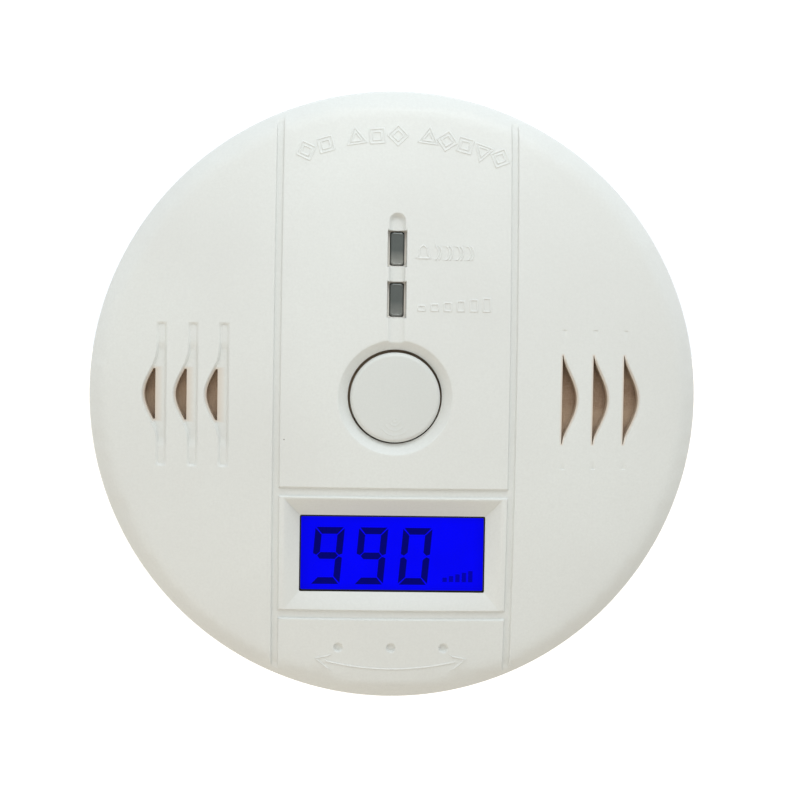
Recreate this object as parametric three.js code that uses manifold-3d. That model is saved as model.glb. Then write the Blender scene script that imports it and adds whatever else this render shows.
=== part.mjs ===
// A battery-powered carbon monoxide detector that twists onto a bracket on the wall.
//
// Each piece is drawn as if the detector lay on its back: x to the right and y up across the face, z out of
// the wall towards the room, in millimetres, with the origin in the middle of the bracket's wall side.
// The group at the end stands it up, so that +Z is up and the face looks along -Y.

import * as THREE from "three";
import { mergeVertices } from "three/addons/utils/BufferGeometryUtils.js";
import Module from "manifold-3d";

const wasm = await Module();
wasm.setup();

// ---- driving dimensions ----

const GAP = 0.3; // between pieces that touch
const RUNNING_GAP = 0.4; // between pieces that move past each other
const SHELL = 2; // wall thickness of the mouldings

const COVER = {
  radius: 50,
  domeRadius: 248.5,
  apex: 37.6,
  edgeRadius: 4.8,
  rearEdge: 14,
};
const HOUSING = { rear: 5.4, plate: 2, radius: 48.9, tongueRadius: 47.6, tongueTop: 17 };
const BRACKET = { radius: 45.6, plate: 2, rim: 1.8, top: 5 };

const TWIST_DEG = 24; // the turn that frees the detector from its bracket
const HOOK = { count: 4, halfAngle: 8, outer: 42, post: 1.8, lip: 4, lipThickness: 1.4 };

const GROOVE = { x: 19, width: 1.3, depth: 0.45, end: 45, upperY: -15.4, lowerY: -35.5 };
const DISPLAY = { y: -25.45, width: 30.2, height: 12.4, outerWidth: 35.2, outerHeight: 18.1, depth: 2.4 };
const GLASS = { width: 36, height: 17.4, thickness: 2.2, play: 0.5 };
const BEZEL_BLOCK = { width: 41, height: 22.4, drop: 3.4 }; // the thick frame behind the display's bezel
const BUTTON = { radius: 7.25, top: 37.2, flange: 1.4, flangeTop: 33.9, stemTip: 31.6 };
const DISH = { radius: 9.2, depth: 1.35, holeRadius: 7.6, collarBottom: 34.2 }; // the recess round the button
const LAMP = { ys: [23.9, 15.7], width: 2.4, height: 5.6, holeWidth: 3.3, holeHeight: 5.8 };
const CHANNEL = { top: 29.8, width: 2.8, depth: 0.85 };
const DIMPLE = { xs: [-8.6, 0, 8.6], y: -40.6, radius: 0.8, depth: 0.5 };

// The vents stand in two groups, one on each side. A vent is a straight groove from top to bottom, with a
// bell-shaped recess that swells outwards from its middle. On the left a ledge covers part of the recess.
const VENT = { halfLength: 11.4, width: 0.9, depth: 0.8, halfSwell: 7.2 };
const LEFT_VENTS = {
  side: -1,
  xs: [-37.2, -32.1, -27.1],
  swell: { start: 0.9, bulge: 2.4, power: 2 },
  hole: { start: 1.45, halfHeight: 4.1 },
};
const RIGHT_VENTS = {
  side: 1,
  xs: [27, 32.1, 37.2],
  swell: { start: 0.1, bulge: 2.4, power: 1.5 },
  hole: { start: 0, halfHeight: VENT.halfSwell },
};

const BOARD = { bottom: 22, thickness: 1.6, radius: 44 };
const BOARD_TOP = BOARD.bottom + BOARD.thickness;
const ON_BOARD = BOARD_TOP + GAP; // the level that the components stand on
const BOARD_SCREWS = [
  [20.5, 37],
  [-20.5, 37],
  [-20.5, -37],
  [20.5, -37],
];
const CASE_SCREWS = [45, 135, 225, 315].map((angle) => polar(41.5, angle));
const BOARD_SCREW = { headRadius: 2.3, headHeight: 1.4, tip: 29.4, pilotEnd: 30 };
const CASE_SCREW = { headRadius: 2.5, headHeight: 1.6, shelf: HOUSING.rear + 4.2, tip: 22, pilotEnd: 23 };
const BOSS = { caseRadius: 3.2, boardRadius: 2.8, pilotRadius: 1.25, clearanceRadius: 1.4 };

const CELL = { radius: 7.1, length: 50, nubRadius: 2.7, nubLength: 1.2, pitch: 15, z: 11.3 };
const WELL = { halfX: 29.7, halfY: 22.6, floor: 19, wall: 1.5 };
const CONTACT = { thickness: 0.4, width: 11, bottom: 6.2, top: 17, nub: 0.9 };
const WIRE = { radius: 0.6, z: 16.6, boardX: 34.2 };

const SCREEN = { x: 33.2, width: 16.4, height: 18, inset: 2.9, thickness: 0.3 }; // dust screens behind the vents
const SIREN = { x: 31, radius: 13.8, wall: 1.6, top: 30.2, shelf: 27.5, shelfRadius: 10.6 };
const SENSOR = { x: -33, y: -17, radius: 7.2 };

// ---- geometry helpers ----

function polar(radius, degrees) {
  const angle = THREE.MathUtils.degToRad(degrees);
  return [radius * Math.cos(angle), radius * Math.sin(angle)];
}

// A closed three.js geometry as a manifold-3d solid.
function solid(geometry) {
  const bare = geometry.clone();
  bare.deleteAttribute("normal");
  bare.deleteAttribute("uv");
  const merged = mergeVertices(bare, 1e-4);
  const triVerts = new Uint32Array(merged.index.array);
  const vertProperties = merged.attributes.position.array;
  const made = new wasm.Manifold(new wasm.Mesh({ numProp: 3, vertProperties, triVerts }));
  if (made.volume() > 0) return made;
  for (let i = 0; i < triVerts.length; i += 3) {
    [triVerts[i + 1], triVerts[i + 2]] = [triVerts[i + 2], triVerts[i + 1]];
  }
  return new wasm.Manifold(new wasm.Mesh({ numProp: 3, vertProperties, triVerts }));
}

function geometryOf(manifold) {
  const mesh = manifold.getMesh();
  const position = new Float32Array(mesh.numVert * 3);
  for (let i = 0; i < mesh.numVert; i++) {
    position.set(mesh.vertProperties.subarray(i * mesh.numProp, i * mesh.numProp + 3), i * 3);
  }
  return new THREE.BufferGeometry()
    .setAttribute("position", new THREE.BufferAttribute(position, 3))
    .setIndex(new THREE.BufferAttribute(mesh.triVerts, 1));
}

function union(solids) {
  return solids.reduce((all, one) => all.add(one));
}

// A cylinder along z from z0 to z1.
function rod([x, y], radius, z0, z1, segments = 24) {
  const geometry = new THREE.CylinderGeometry(radius, radius, z1 - z0, segments);
  return solid(geometry.rotateX(Math.PI / 2).translate(x, y, (z0 + z1) / 2));
}

function box([x, y], width, height, z0, z1) {
  return solid(new THREE.BoxGeometry(width, height, z1 - z0).translate(x, y, (z0 + z1) / 2));
}

// A solid of revolution about z, from its [radius, z] outline.
function turned(outline, segments = 32, [x, y] = [0, 0]) {
  const points = outline.map(([radius, z]) => new THREE.Vector2(radius, z));
  const geometry = new THREE.LatheGeometry(points, segments);
  return solid(geometry.rotateX(Math.PI / 2).translate(x, y, 0));
}

// A flat outline of [x, y] points, extruded from z0 to z1.
function plate(outline, z0, z1) {
  const shape = new THREE.Shape(outline.map(([x, y]) => new THREE.Vector2(x, y)));
  const geometry = new THREE.ExtrudeGeometry(shape, { depth: z1 - z0, bevelEnabled: false });
  return solid(geometry.translate(0, 0, z0));
}

// A slice of a ring between two radii and two angles in degrees.
function ringSlice(inner, outer, from, to, z0, z1) {
  const steps = Math.max(2, Math.ceil((to - from) / 6));
  const angles = Array.from({ length: steps + 1 }, (_, i) => from + ((to - from) * i) / steps);
  const outline = [
    ...angles.map((angle) => polar(outer, angle)),
    ...angles.reverse().map((angle) => polar(inner, angle)),
  ];
  return plate(outline, z0, z1);
}

// A four-sided funnel from one rectangle up to a wider one.
function funnel([x, y], width0, height0, z0, width1, height1, z1) {
  const geometry = new THREE.BoxGeometry(1, 1, 1);
  const corners = geometry.attributes.position;
  for (let i = 0; i < corners.count; i++) {
    const upper = corners.getZ(i) > 0;
    const across = corners.getX(i) * (upper ? width1 : width0);
    const along = corners.getY(i) * (upper ? height1 : height0);
    corners.setXYZ(i, x + across, y + along, upper ? z1 : z0);
  }
  return solid(geometry);
}

// A round wire along a smooth path of [x, y, z] points.
function wire(points, radius, sides, steps) {
  const path = new THREE.CatmullRomCurve3(points.map((point) => new THREE.Vector3(...point)));
  return alongPath(path, radius, sides, steps);
}

function alongPath(path, radius, sides, steps) {
  const section = new THREE.Shape();
  for (let i = 0; i < sides; i++) {
    const angle = (2 * Math.PI * i) / sides;
    const at = [radius * Math.cos(angle), radius * Math.sin(angle)];
    if (i === 0) section.moveTo(...at);
    else section.lineTo(...at);
  }
  section.closePath();
  return solid(new THREE.ExtrudeGeometry(section, { steps, extrudePath: path, bevelEnabled: false }));
}

// ---- the face ----

// The cover's outer surface set back by `inset`: a shallow dome, a rounded edge and a straight wall.
function facePoints(inset, domeSteps, edgeSteps) {
  const sphereZ = COVER.apex - COVER.domeRadius;
  const edgeR = COVER.radius - COVER.edgeRadius;
  const edgeZ = sphereZ + Math.sqrt((COVER.domeRadius - COVER.edgeRadius) ** 2 - edgeR ** 2);
  const tangent = Math.atan2(edgeZ - sphereZ, edgeR);
  const dome = Array.from({ length: domeSteps }, (_, i) => {
    const angle = Math.PI / 2 + ((tangent - Math.PI / 2) * i) / domeSteps;
    const radius = COVER.domeRadius - inset;
    return [radius * Math.cos(angle), sphereZ + radius * Math.sin(angle)];
  });
  dome[0][0] = 0;
  const edge = Array.from({ length: edgeSteps + 1 }, (_, i) => {
    const angle = tangent * (1 - i / edgeSteps);
    const radius = COVER.edgeRadius - inset;
    return [edgeR + radius * Math.cos(angle), edgeZ + radius * Math.sin(angle)];
  });
  return [...dome, ...edge];
}

// Height of the face above the wall at a distance from the axis.
function faceZ(radius) {
  return COVER.apex - COVER.domeRadius + Math.sqrt(COVER.domeRadius ** 2 - radius ** 2);
}

function insideFace(inset) {
  const points = facePoints(inset, 5, 5);
  const wall = COVER.radius - inset;
  return turned([...points, [wall, COVER.rearEdge - 1], [0, COVER.rearEdge - 1]], 64);
}

// Everything above a surface set back from the face, within the outline of `shape`.
function cutToDepth(shape, depth) {
  return shape.subtract(insideFace(depth));
}

const ABOVE = COVER.apex + 1; // a level clear of the face
const UNDER = 24; // a level under the face's wall, for holes through it

// ---- the shells ----

function grooves() {
  const upright = (x) => box([x, 0], GROOVE.width, 2 * GROOVE.end, UNDER, ABOVE);
  const level = (y) => box([0, y], 2 * GROOVE.x, GROOVE.width, UNDER, ABOVE);
  const all = [upright(-GROOVE.x), upright(GROOVE.x), level(GROOVE.upperY), level(GROOVE.lowerY)];
  return cutToDepth(union(all), GROOVE.depth);
}

// The outline between a vent's bell curve and an upright line `start` away from the groove's inner edge,
// no taller than `halfHeight` above and below the middle.
function bellOutline(x, side, swell, start, halfHeight) {
  const steps = 12;
  const curve = Array.from({ length: steps + 1 }, (_, i) => {
    const y = halfHeight * ((2 * i) / steps - 1);
    const share = Math.cos((Math.PI * y) / (2 * VENT.halfSwell)) ** swell.power;
    return [x + side * Math.max(start + 0.02, swell.start + swell.bulge * share), y];
  });
  return [[x + side * start, -halfHeight], ...curve, [x + side * start, halfHeight]];
}

function vents({ side, xs, swell, hole }) {
  return xs.map((x) => {
    const groove = box([x + (side * VENT.width) / 2, 0], VENT.width, 2 * VENT.halfLength, UNDER, ABOVE);
    const recess = plate(bellOutline(x, side, swell, 0, VENT.halfSwell), UNDER, ABOVE);
    const opening = plate(bellOutline(x, side, swell, hole.start, hole.halfHeight), UNDER, ABOVE);
    return cutToDepth(groove.add(recess), VENT.depth).add(opening);
  });
}

function frontCover() {
  const outer = facePoints(0, 5, 5);
  const inner = facePoints(SHELL, 3, 3);
  const rim = [
    [COVER.radius, COVER.rearEdge],
    [COVER.radius - SHELL, COVER.rearEdge],
  ];
  let cover = turned([...outer, ...rim, ...inner.reverse()], 64);

  const sill = faceZ(-DISPLAY.y) - DISPLAY.depth;
  const inside = insideFace(SHELL / 2);
  const posts = [
    ...CASE_SCREWS.map((at) => rod(at, BOSS.caseRadius, COVER.rearEdge, ABOVE, 12)),
    ...BOARD_SCREWS.map((at) => rod(at, BOSS.boardRadius, ON_BOARD, ABOVE, 12)),
    rod([0, 0], DISH.radius + 1.5, DISH.collarBottom, ABOVE, 24),
    box([0, DISPLAY.y], BEZEL_BLOCK.width, BEZEL_BLOCK.height, sill - BEZEL_BLOCK.drop, ABOVE),
  ];
  cover = cover.add(union(posts).intersect(inside));

  const pilots = [
    ...CASE_SCREWS.map((at) => rod(at, BOSS.pilotRadius, COVER.rearEdge - 1, CASE_SCREW.pilotEnd, 10)),
    ...BOARD_SCREWS.map((at) => rod(at, BOSS.pilotRadius, BOARD_TOP, BOARD_SCREW.pilotEnd, 10)),
  ];
  const dish = turned(
    [
      [0, UNDER],
      [DISH.holeRadius, UNDER],
      [DISH.holeRadius, COVER.apex - DISH.depth],
      [DISH.radius, faceZ(DISH.radius)],
      [DISH.radius + 0.5, ABOVE],
      [0, ABOVE],
    ],
    32,
  );
  const lampSlots = LAMP.ys.map((y) => box([0, y], LAMP.holeWidth, LAMP.holeHeight, UNDER, ABOVE));
  const channel = box([0, CHANNEL.top / 2], CHANNEL.width, CHANNEL.top, UNDER, ABOVE);
  const slope = [DISPLAY.width, DISPLAY.height, sill, DISPLAY.outerWidth, DISPLAY.outerHeight];
  const cuts = [
    ...pilots,
    dish,
    ...lampSlots,
    cutToDepth(channel, CHANNEL.depth),
    grooves(),
    funnel([0, DISPLAY.y], ...slope, sill + DISPLAY.depth),
    box([0, DISPLAY.y], DISPLAY.outerWidth, DISPLAY.outerHeight, sill + DISPLAY.depth - 0.01, ABOVE),
    box([0, DISPLAY.y], DISPLAY.width, DISPLAY.height, UNDER, sill + 0.01),
    box([0, DISPLAY.y], GLASS.width + 2 * GLASS.play, GLASS.height + 2 * GLASS.play, UNDER, sill),
    ...DIMPLE.xs.map((x) => {
      const top = faceZ(Math.hypot(x, DIMPLE.y));
      return rod([x, DIMPLE.y], DIMPLE.radius, top - DIMPLE.depth, ABOVE, 12);
    }),
    ...vents(LEFT_VENTS),
    ...vents(RIGHT_VENTS),
  ];
  return cover.subtract(union(cuts));
}

// A thin curved sheet that keeps dust and insects out of the vents on one side.
function dustScreen(side) {
  const patch = box([side * SCREEN.x, 0], SCREEN.width, SCREEN.height, UNDER, ABOVE);
  const shell = insideFace(SCREEN.inset).subtract(insideFace(SCREEN.inset + SCREEN.thickness));
  return patch.intersect(shell);
}

function rearHousing() {
  const { rear, plate: thick, radius, tongueRadius, tongueTop } = HOUSING;
  const seam = COVER.rearEdge - RUNNING_GAP;
  const inner = tongueRadius - 1.8;
  const cup = turned(
    [
      [0, rear],
      [radius - 2.6, rear],
      [radius - 1.4, rear + 1],
      [radius, seam],
      [tongueRadius, seam],
      [tongueRadius, tongueTop],
      [inner, tongueTop],
      [inner, rear + thick],
      [0, rear + thick],
    ],
    64,
  );
  const outerX = 2 * (WELL.halfX + WELL.wall);
  const outerY = 2 * (WELL.halfY + WELL.wall);
  const well = box([0, 0], outerX, outerY, rear, WELL.floor + 1.4);
  const posts = CASE_SCREWS.map((at) => rod(at, BOSS.caseRadius + 0.3, rear, seam, 12));
  const hollow = box([0, 0], 2 * WELL.halfX, 2 * WELL.halfY, rear - 1, WELL.floor);
  const headRadius = CASE_SCREW.headRadius + RUNNING_GAP;
  const headRooms = CASE_SCREWS.map((at) => rod(at, headRadius, rear - 1, CASE_SCREW.shelf, 12));
  const clearances = CASE_SCREWS.map((at) => rod(at, BOSS.clearanceRadius, rear, seam + 1, 12));
  const wireHoles = [-1, 1].map((side) => {
    const hole = new THREE.CylinderGeometry(1, 1, 4, 12).rotateZ(Math.PI / 2);
    return solid(hole.translate(side * (WELL.halfX + 0.7), -side * CELL.pitch, WIRE.z));
  });
  return union([cup, well, ...posts]).subtract(
    union([hollow, ...headRooms, ...clearances, ...wireHoles, ...bayonetSlots(), ...sideVents()]),
  );
}

// Each bayonet slot has a wide mouth that the hook's lip enters, and a narrow track for its post.
function bayonetSlots() {
  const [z0, z1] = [HOUSING.rear - 1, HOUSING.rear + HOUSING.plate + 0.3];
  const outer = HOOK.outer + GAP;
  const mouthInner = HOOK.outer - HOOK.lip - GAP;
  const trackInner = HOOK.outer - HOOK.post - GAP;
  const margin = 1.2;
  const reach = HOOK.halfAngle + margin;
  return Array.from({ length: HOOK.count }, (_, i) => (360 / HOOK.count) * i).flatMap((angle) => {
    const mouth = angle - TWIST_DEG;
    return [
      ringSlice(mouthInner, outer, mouth - reach, mouth + reach, z0, z1),
      ringSlice(trackInner, outer, mouth - reach, angle + reach, z0, z1),
    ];
  });
}

// Short upright slots through the rear housing's wall, on the left and the right.
function sideVents() {
  const angles = [-20, -15, -10, -5, 0, 5, 10, 15, 20];
  return [0, 180].flatMap((side) =>
    angles.map((angle) => {
      const slot = new THREE.BoxGeometry(6, 1.5, 4.2).translate(HOUSING.radius, 0, 10.1);
      return solid(slot.rotateZ(THREE.MathUtils.degToRad(side + angle)));
    }),
  );
}

function wallBracket() {
  const { radius, plate: thick, rim, top } = BRACKET;
  const dish = turned(
    [
      [0, 0],
      [radius - 0.5, 0],
      [radius, 0.5],
      [radius, top],
      [radius - rim, top],
      [radius - rim, thick],
      [0, thick],
    ],
    64,
  );
  const lipBottom = HOUSING.rear + HOUSING.plate + RUNNING_GAP;
  const lipTop = lipBottom + HOOK.lipThickness;
  const hooks = [];
  const windows = [];
  for (let i = 0; i < HOOK.count; i++) {
    const angle = (360 / HOOK.count) * i;
    const span = [angle - HOOK.halfAngle, angle + HOOK.halfAngle];
    hooks.push(ringSlice(HOOK.outer - HOOK.post, HOOK.outer, ...span, thick - 0.5, lipTop));
    hooks.push(ringSlice(HOOK.outer - HOOK.lip, HOOK.outer, ...span, lipBottom, lipTop));
    windows.push(ringSlice(HOOK.outer - HOOK.lip - GAP, HOOK.outer - HOOK.post, ...span, -1, thick + 1));
  }
  const stiffener = turned(
    [
      [19, thick - 0.5],
      [20.2, thick - 0.5],
      [20.2, thick + 0.8],
      [19, thick + 0.8],
      [19, thick - 0.5],
    ],
    40,
  );
  return union([dish, ...hooks, stiffener]).subtract(union([...windows, ...keyholes(), ...sideSlots()]));
}

const KEYHOLE = { y: 28.5, headRadius: 4.5, slotWidth: 4.6, slotLength: 6.5 };

function keyholes() {
  return [-1, 1].flatMap((side) => {
    const y = side * KEYHOLE.y;
    const slotTop = y + KEYHOLE.slotLength;
    return [
      rod([0, y], KEYHOLE.headRadius, -1, BRACKET.plate + 1, 24),
      box([0, (y + slotTop) / 2], KEYHOLE.slotWidth, slotTop - y, -1, BRACKET.plate + 1),
      rod([0, slotTop], KEYHOLE.slotWidth / 2, -1, BRACKET.plate + 1, 16),
    ];
  });
}

// Narrow curved slots beside the keyholes, for a screw that lets the bracket turn a little.
function sideSlots() {
  return [0, 180].map((angle) => ringSlice(29.2, 32.8, angle - 14, angle + 14, -1, BRACKET.plate + 1));
}

// ---- the controls ----

function testButton() {
  const { radius, top, flange, flangeTop, stemTip } = BUTTON;
  const flangeBottom = flangeTop - 0.9;
  const wall = radius - 1.2;
  const ceiling = top - 1.8;
  return turned(
    [
      [0, top],
      [radius - 1, top - 0.12],
      [radius - 0.3, top - 0.4],
      [radius, top - 1],
      [radius, flangeTop],
      [radius + flange, flangeTop],
      [radius + flange, flangeBottom],
      [wall, flangeBottom],
      [wall, ceiling],
      [2, ceiling],
      [2, stemTip],
      [0, stemTip],
    ],
    32,
  );
}

function switchBody() {
  const body = box([0, 0], 6, 6, ON_BOARD, ON_BOARD + 3.5);
  return body.subtract(rod([0, 0], 2, ON_BOARD + 1.8, ON_BOARD + 4, 20));
}

function switchPlunger() {
  return rod([0, 0], 1.7, ON_BOARD + 2.3, BUTTON.stemTip - GAP, 20);
}

function lightPipe(y) {
  const top = faceZ(y) - CHANNEL.depth - 0.25;
  const flangeTop = faceZ(y + LAMP.height / 2) - SHELL - 2 * GAP;
  const stem = box([0, y], LAMP.width, LAMP.height, ON_BOARD + 5, top);
  return stem.add(box([0, y], LAMP.width + 2, LAMP.height + 1.4, flangeTop - 0.9, flangeTop));
}

function lamp(y) {
  const bulb = 1.5;
  const shoulder = ON_BOARD + 4.4 - bulb;
  const dome = [60, 30, 0].map((angle) => {
    const [across, up] = polar(bulb, angle);
    return [across, shoulder + up];
  });
  const flange = [
    [bulb, ON_BOARD + 1],
    [1.9, ON_BOARD + 1],
    [1.9, ON_BOARD],
    [0, ON_BOARD],
  ];
  return turned([[0, shoulder + bulb], ...dome, ...flange], 20, [0, y]);
}

// ---- the display ----

const GLASS_TOP = faceZ(-DISPLAY.y) - DISPLAY.depth - GAP;
const GLASS_BOTTOM = GLASS_TOP - GLASS.thickness;
const LIGHT_BOTTOM = GLASS_BOTTOM - GAP - 2.6; // underside of the backlight

function displayGlass() {
  return box([0, DISPLAY.y], GLASS.width, GLASS.height, GLASS_BOTTOM, GLASS_TOP);
}

function backlight() {
  return box([0, DISPLAY.y], 32, 13.4, LIGHT_BOTTOM, GLASS_BOTTOM - GAP);
}

function displayHolder() {
  const top = LIGHT_BOTTOM - GAP;
  const block = box([0, DISPLAY.y], 33, 13.2, ON_BOARD, top);
  return block.subtract(box([0, DISPLAY.y], 30, 10.2, ON_BOARD - 1, top + 1));
}

function connectorStrip(side) {
  return box([0, DISPLAY.y + side * 7.8], 33, 1.4, ON_BOARD, GLASS_BOTTOM - GAP);
}

// ---- the electronics ----

function circuitBoard() {
  const disc = rod([0, 0], BOARD.radius, BOARD.bottom, BOARD_TOP, 64);
  const [below, above] = [BOARD.bottom - 1, BOARD_TOP + 1];
  const bossHoles = CASE_SCREWS.map((at) => rod(at, BOSS.caseRadius + RUNNING_GAP, below, above, 12));
  const screwHoles = BOARD_SCREWS.map((at) => rod(at, BOSS.clearanceRadius, below, above, 12));
  return disc.subtract(union([...bossHoles, ...screwHoles]));
}

function sirenHousing() {
  const { x, radius, wall, top, shelf, shelfRadius } = SIREN;
  const outline = [
    [radius, ON_BOARD],
    [radius, top],
    [radius - wall, top],
    [radius - wall, shelf],
    [shelfRadius, shelf],
    [shelfRadius, shelf - 1.2],
    [radius - wall, shelf - 1.2],
    [radius - wall, ON_BOARD],
    [radius, ON_BOARD],
  ];
  return turned(outline, 32, [x, 0]);
}

function piezoPlate() {
  const bottom = SIREN.shelf + GAP;
  return rod([SIREN.x, 0], SIREN.radius - SIREN.wall - GAP, bottom, bottom + 0.3, 40);
}

function piezoCeramic() {
  return rod([SIREN.x, 0], 8.5, SIREN.shelf - 0.5, SIREN.shelf, 32);
}

function sensorBody() {
  return rod([SENSOR.x, SENSOR.y], SENSOR.radius, ON_BOARD, ON_BOARD + 4.9, 32);
}

function sensorCap() {
  const bottom = ON_BOARD + 4.9 + GAP;
  const inlet = rod([SENSOR.x, SENSOR.y], 2, bottom + 0.8, bottom + 3, 16);
  return rod([SENSOR.x, SENSOR.y], 6.2, bottom, bottom + 1.6, 32).subtract(inlet);
}

function microcontroller() {
  return box([-17, 8], 10.3, 7.5, ON_BOARD, ON_BOARD + 2.3);
}

// The step-up coil that drives the siren: a bobbin with its winding between two flanges.
function stepUpCoil() {
  const z = ON_BOARD;
  const outline = [
    [0, z],
    [4, z],
    [4, z + 0.9],
    [3.3, z + 0.9],
    [3.3, z + 5.7],
    [4, z + 5.7],
    [4, z + 6.6],
    [0, z + 6.6],
  ];
  return turned(outline, 24, [10.5, 35]);
}

function capacitor() {
  const z = ON_BOARD;
  const outline = [
    [0, z],
    [3.1, z],
    [3.1, z + 0.9],
    [2.9, z + 1.1],
    [3.1, z + 1.3],
    [3.1, z + 6.8],
    [2.8, z + 7.1],
    [0, z + 7.1],
  ];
  return turned(outline, 24, [-10, 35]);
}

function transistor() {
  const half = 2.3;
  const arc = [-50, -25, 0, 25, 50, 75, 105, 130, 155, 180, 205, 230].map((angle) => polar(half, angle));
  const outline = arc.map(([x, y]) => [x - 27, y + 14]);
  return plate(outline, ON_BOARD, ON_BOARD + 4.6);
}

// ---- the batteries and their contacts ----

// A cell along x. Its positive end points to `side`, where its nub meets the contact's.
function cell(y, side) {
  const nubTip = WELL.halfX - GAP - CONTACT.thickness - CONTACT.nub - GAP;
  const shoulder = nubTip - CELL.nubLength;
  const base = nubTip - CELL.length;
  const outline = [
    [0, base],
    [CELL.radius - 0.5, base],
    [CELL.radius, base + 0.5],
    [CELL.radius, shoulder - 0.5],
    [CELL.radius - 0.5, shoulder],
    [CELL.nubRadius, shoulder],
    [CELL.nubRadius, nubTip],
    [0, nubTip],
  ];
  const points = outline.map(([radius, along]) => new THREE.Vector2(radius, along));
  const geometry = new THREE.LatheGeometry(points, 24).rotateZ((-side * Math.PI) / 2);
  return solid(geometry.translate(0, y, CELL.z));
}

// Distance from the middle to the face of a contact plate that the cells touch.
const CONTACT_FACE = WELL.halfX - GAP - CONTACT.thickness;

function contactPlate(side, y, width) {
  const x = side * (CONTACT_FACE + CONTACT.thickness / 2);
  return box([x, y], CONTACT.thickness, width, CONTACT.bottom, CONTACT.top);
}

function contactNub(side, y) {
  const nub = new THREE.CylinderGeometry(2.4, 3, CONTACT.nub + 0.2, 20).rotateZ((side * Math.PI) / 2);
  return solid(nub.translate(side * (CONTACT_FACE - CONTACT.nub / 2 + 0.1), y, CELL.z));
}

// A coil spring that narrows from the contact plate towards the cell.
function contactSpring(side, y) {
  const turns = 3.25;
  const wireRadius = 0.42;
  const cellEnd = CELL.length - (CONTACT_FACE - CONTACT.nub - GAP);
  const from = CONTACT_FACE + 0.1;
  const to = cellEnd + GAP + wireRadius;
  const coil = new THREE.Curve();
  coil.getPoint = (t, target = new THREE.Vector3()) => {
    const angle = 2 * Math.PI * turns * t;
    const radius = 4.6 - 1.6 * t;
    const x = side * (from + (to - from) * t);
    return target.set(x, y + radius * Math.cos(angle), CELL.z + radius * Math.sin(angle));
  };
  return alongPath(coil, wireRadius, 5, 32);
}

function positiveContact() {
  return contactPlate(-1, CELL.pitch, CONTACT.width).add(contactNub(-1, CELL.pitch));
}

function negativeContact() {
  return contactPlate(1, -CELL.pitch, CONTACT.width).add(contactSpring(1, -CELL.pitch));
}

function bridgeContact(side, springY, nubY) {
  const middle = (springY + nubY) / 2;
  const strip = contactPlate(side, middle, CELL.pitch + CONTACT.width);
  return union([strip, contactSpring(side, springY), contactNub(side, nubY)]);
}

function batteryWire(side) {
  const y = -side * CELL.pitch;
  const { z, boardX } = WIRE;
  const route = [
    [side * (WELL.halfX + 0.05), y, z],
    [side * (WELL.halfX + 1.9), y, z],
    [side * (boardX - 0.7), y, z + 1],
    [side * boardX, y, z + 3],
    [side * boardX, y, BOARD.bottom - GAP],
  ];
  return wire(route, WIRE.radius, 8, 14);
}

// ---- the screws ----

// A pan-head screw that points away from the wall, with its head from `z` up to the shank.
function screw(at, z, { headRadius, headHeight, tip }) {
  const shank = 0.95;
  const outline = [
    [0, z],
    [headRadius - 0.5, z],
    [headRadius, z + 0.5],
    [headRadius, z + headHeight],
    [shank, z + headHeight],
    [shank, tip - 1],
    [0, tip],
  ];
  const body = turned(outline, 12, at);
  const recess = (width, height) => box(at, width, height, z - 1, z + 0.7);
  return body.subtract(recess(headRadius * 1.3, 0.6)).subtract(recess(0.6, headRadius * 1.3));
}

// ---- the assembly ----

const FINISH = {
  white: { color: 0xe6e7e2, roughness: 0.45, metalness: 0 },
  frost: { color: 0xdfe3e6, roughness: 0.5, metalness: 0 },
  smoke: { color: 0x5e5f5c, roughness: 0.2, metalness: 0 },
  display: { color: 0x0a0bff, roughness: 0.15, metalness: 0 },
  screen: { color: 0xa88f78, roughness: 0.9, metalness: 0 },
  board: { color: 0xa07850, roughness: 0.6, metalness: 0 },
  black: { color: 0x1c1c1e, roughness: 0.5, metalness: 0 },
  brass: { color: 0xc9a75a, roughness: 0.3, metalness: 1 },
  ceramic: { color: 0xd8d4c8, roughness: 0.5, metalness: 0 },
  steel: { color: 0xb9bcc0, roughness: 0.35, metalness: 1 },
  copper: { color: 0xb0633a, roughness: 0.4, metalness: 1 },
  red: { color: 0xb02a22, roughness: 0.4, metalness: 0 },
  green: { color: 0x3f9a48, roughness: 0.4, metalness: 0 },
  rubber: { color: 0xc9a3a0, roughness: 0.8, metalness: 0 },
  cell: { color: 0x30443a, roughness: 0.35, metalness: 0 },
};

const detector = new THREE.Group();

function addPiece(name, finish, manifold) {
  const material = new THREE.MeshStandardMaterial(FINISH[finish]);
  const mesh = new THREE.Mesh(geometryOf(manifold), material);
  mesh.name = name;
  detector.add(mesh);
}

addPiece("wall_bracket", "white", wallBracket());
addPiece("rear_housing", "white", rearHousing());
addPiece("front_cover", "white", frontCover());

addPiece("dust_screen_left", "screen", dustScreen(-1));
addPiece("dust_screen_right", "screen", dustScreen(1));

addPiece("test_button", "white", testButton());
addPiece("tact_switch_body", "black", switchBody());
addPiece("tact_switch_plunger", "black", switchPlunger());
["alarm", "operate"].forEach((name, i) => {
  addPiece(`${name}_light_pipe`, "smoke", lightPipe(LAMP.ys[i]));
  addPiece(`${name}_led`, i === 0 ? "red" : "green", lamp(LAMP.ys[i]));
});

addPiece("display_glass", "display", displayGlass());
addPiece("display_backlight", "frost", backlight());
addPiece("display_holder", "frost", displayHolder());
addPiece("display_connector_upper", "rubber", connectorStrip(1));
addPiece("display_connector_lower", "rubber", connectorStrip(-1));

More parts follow.
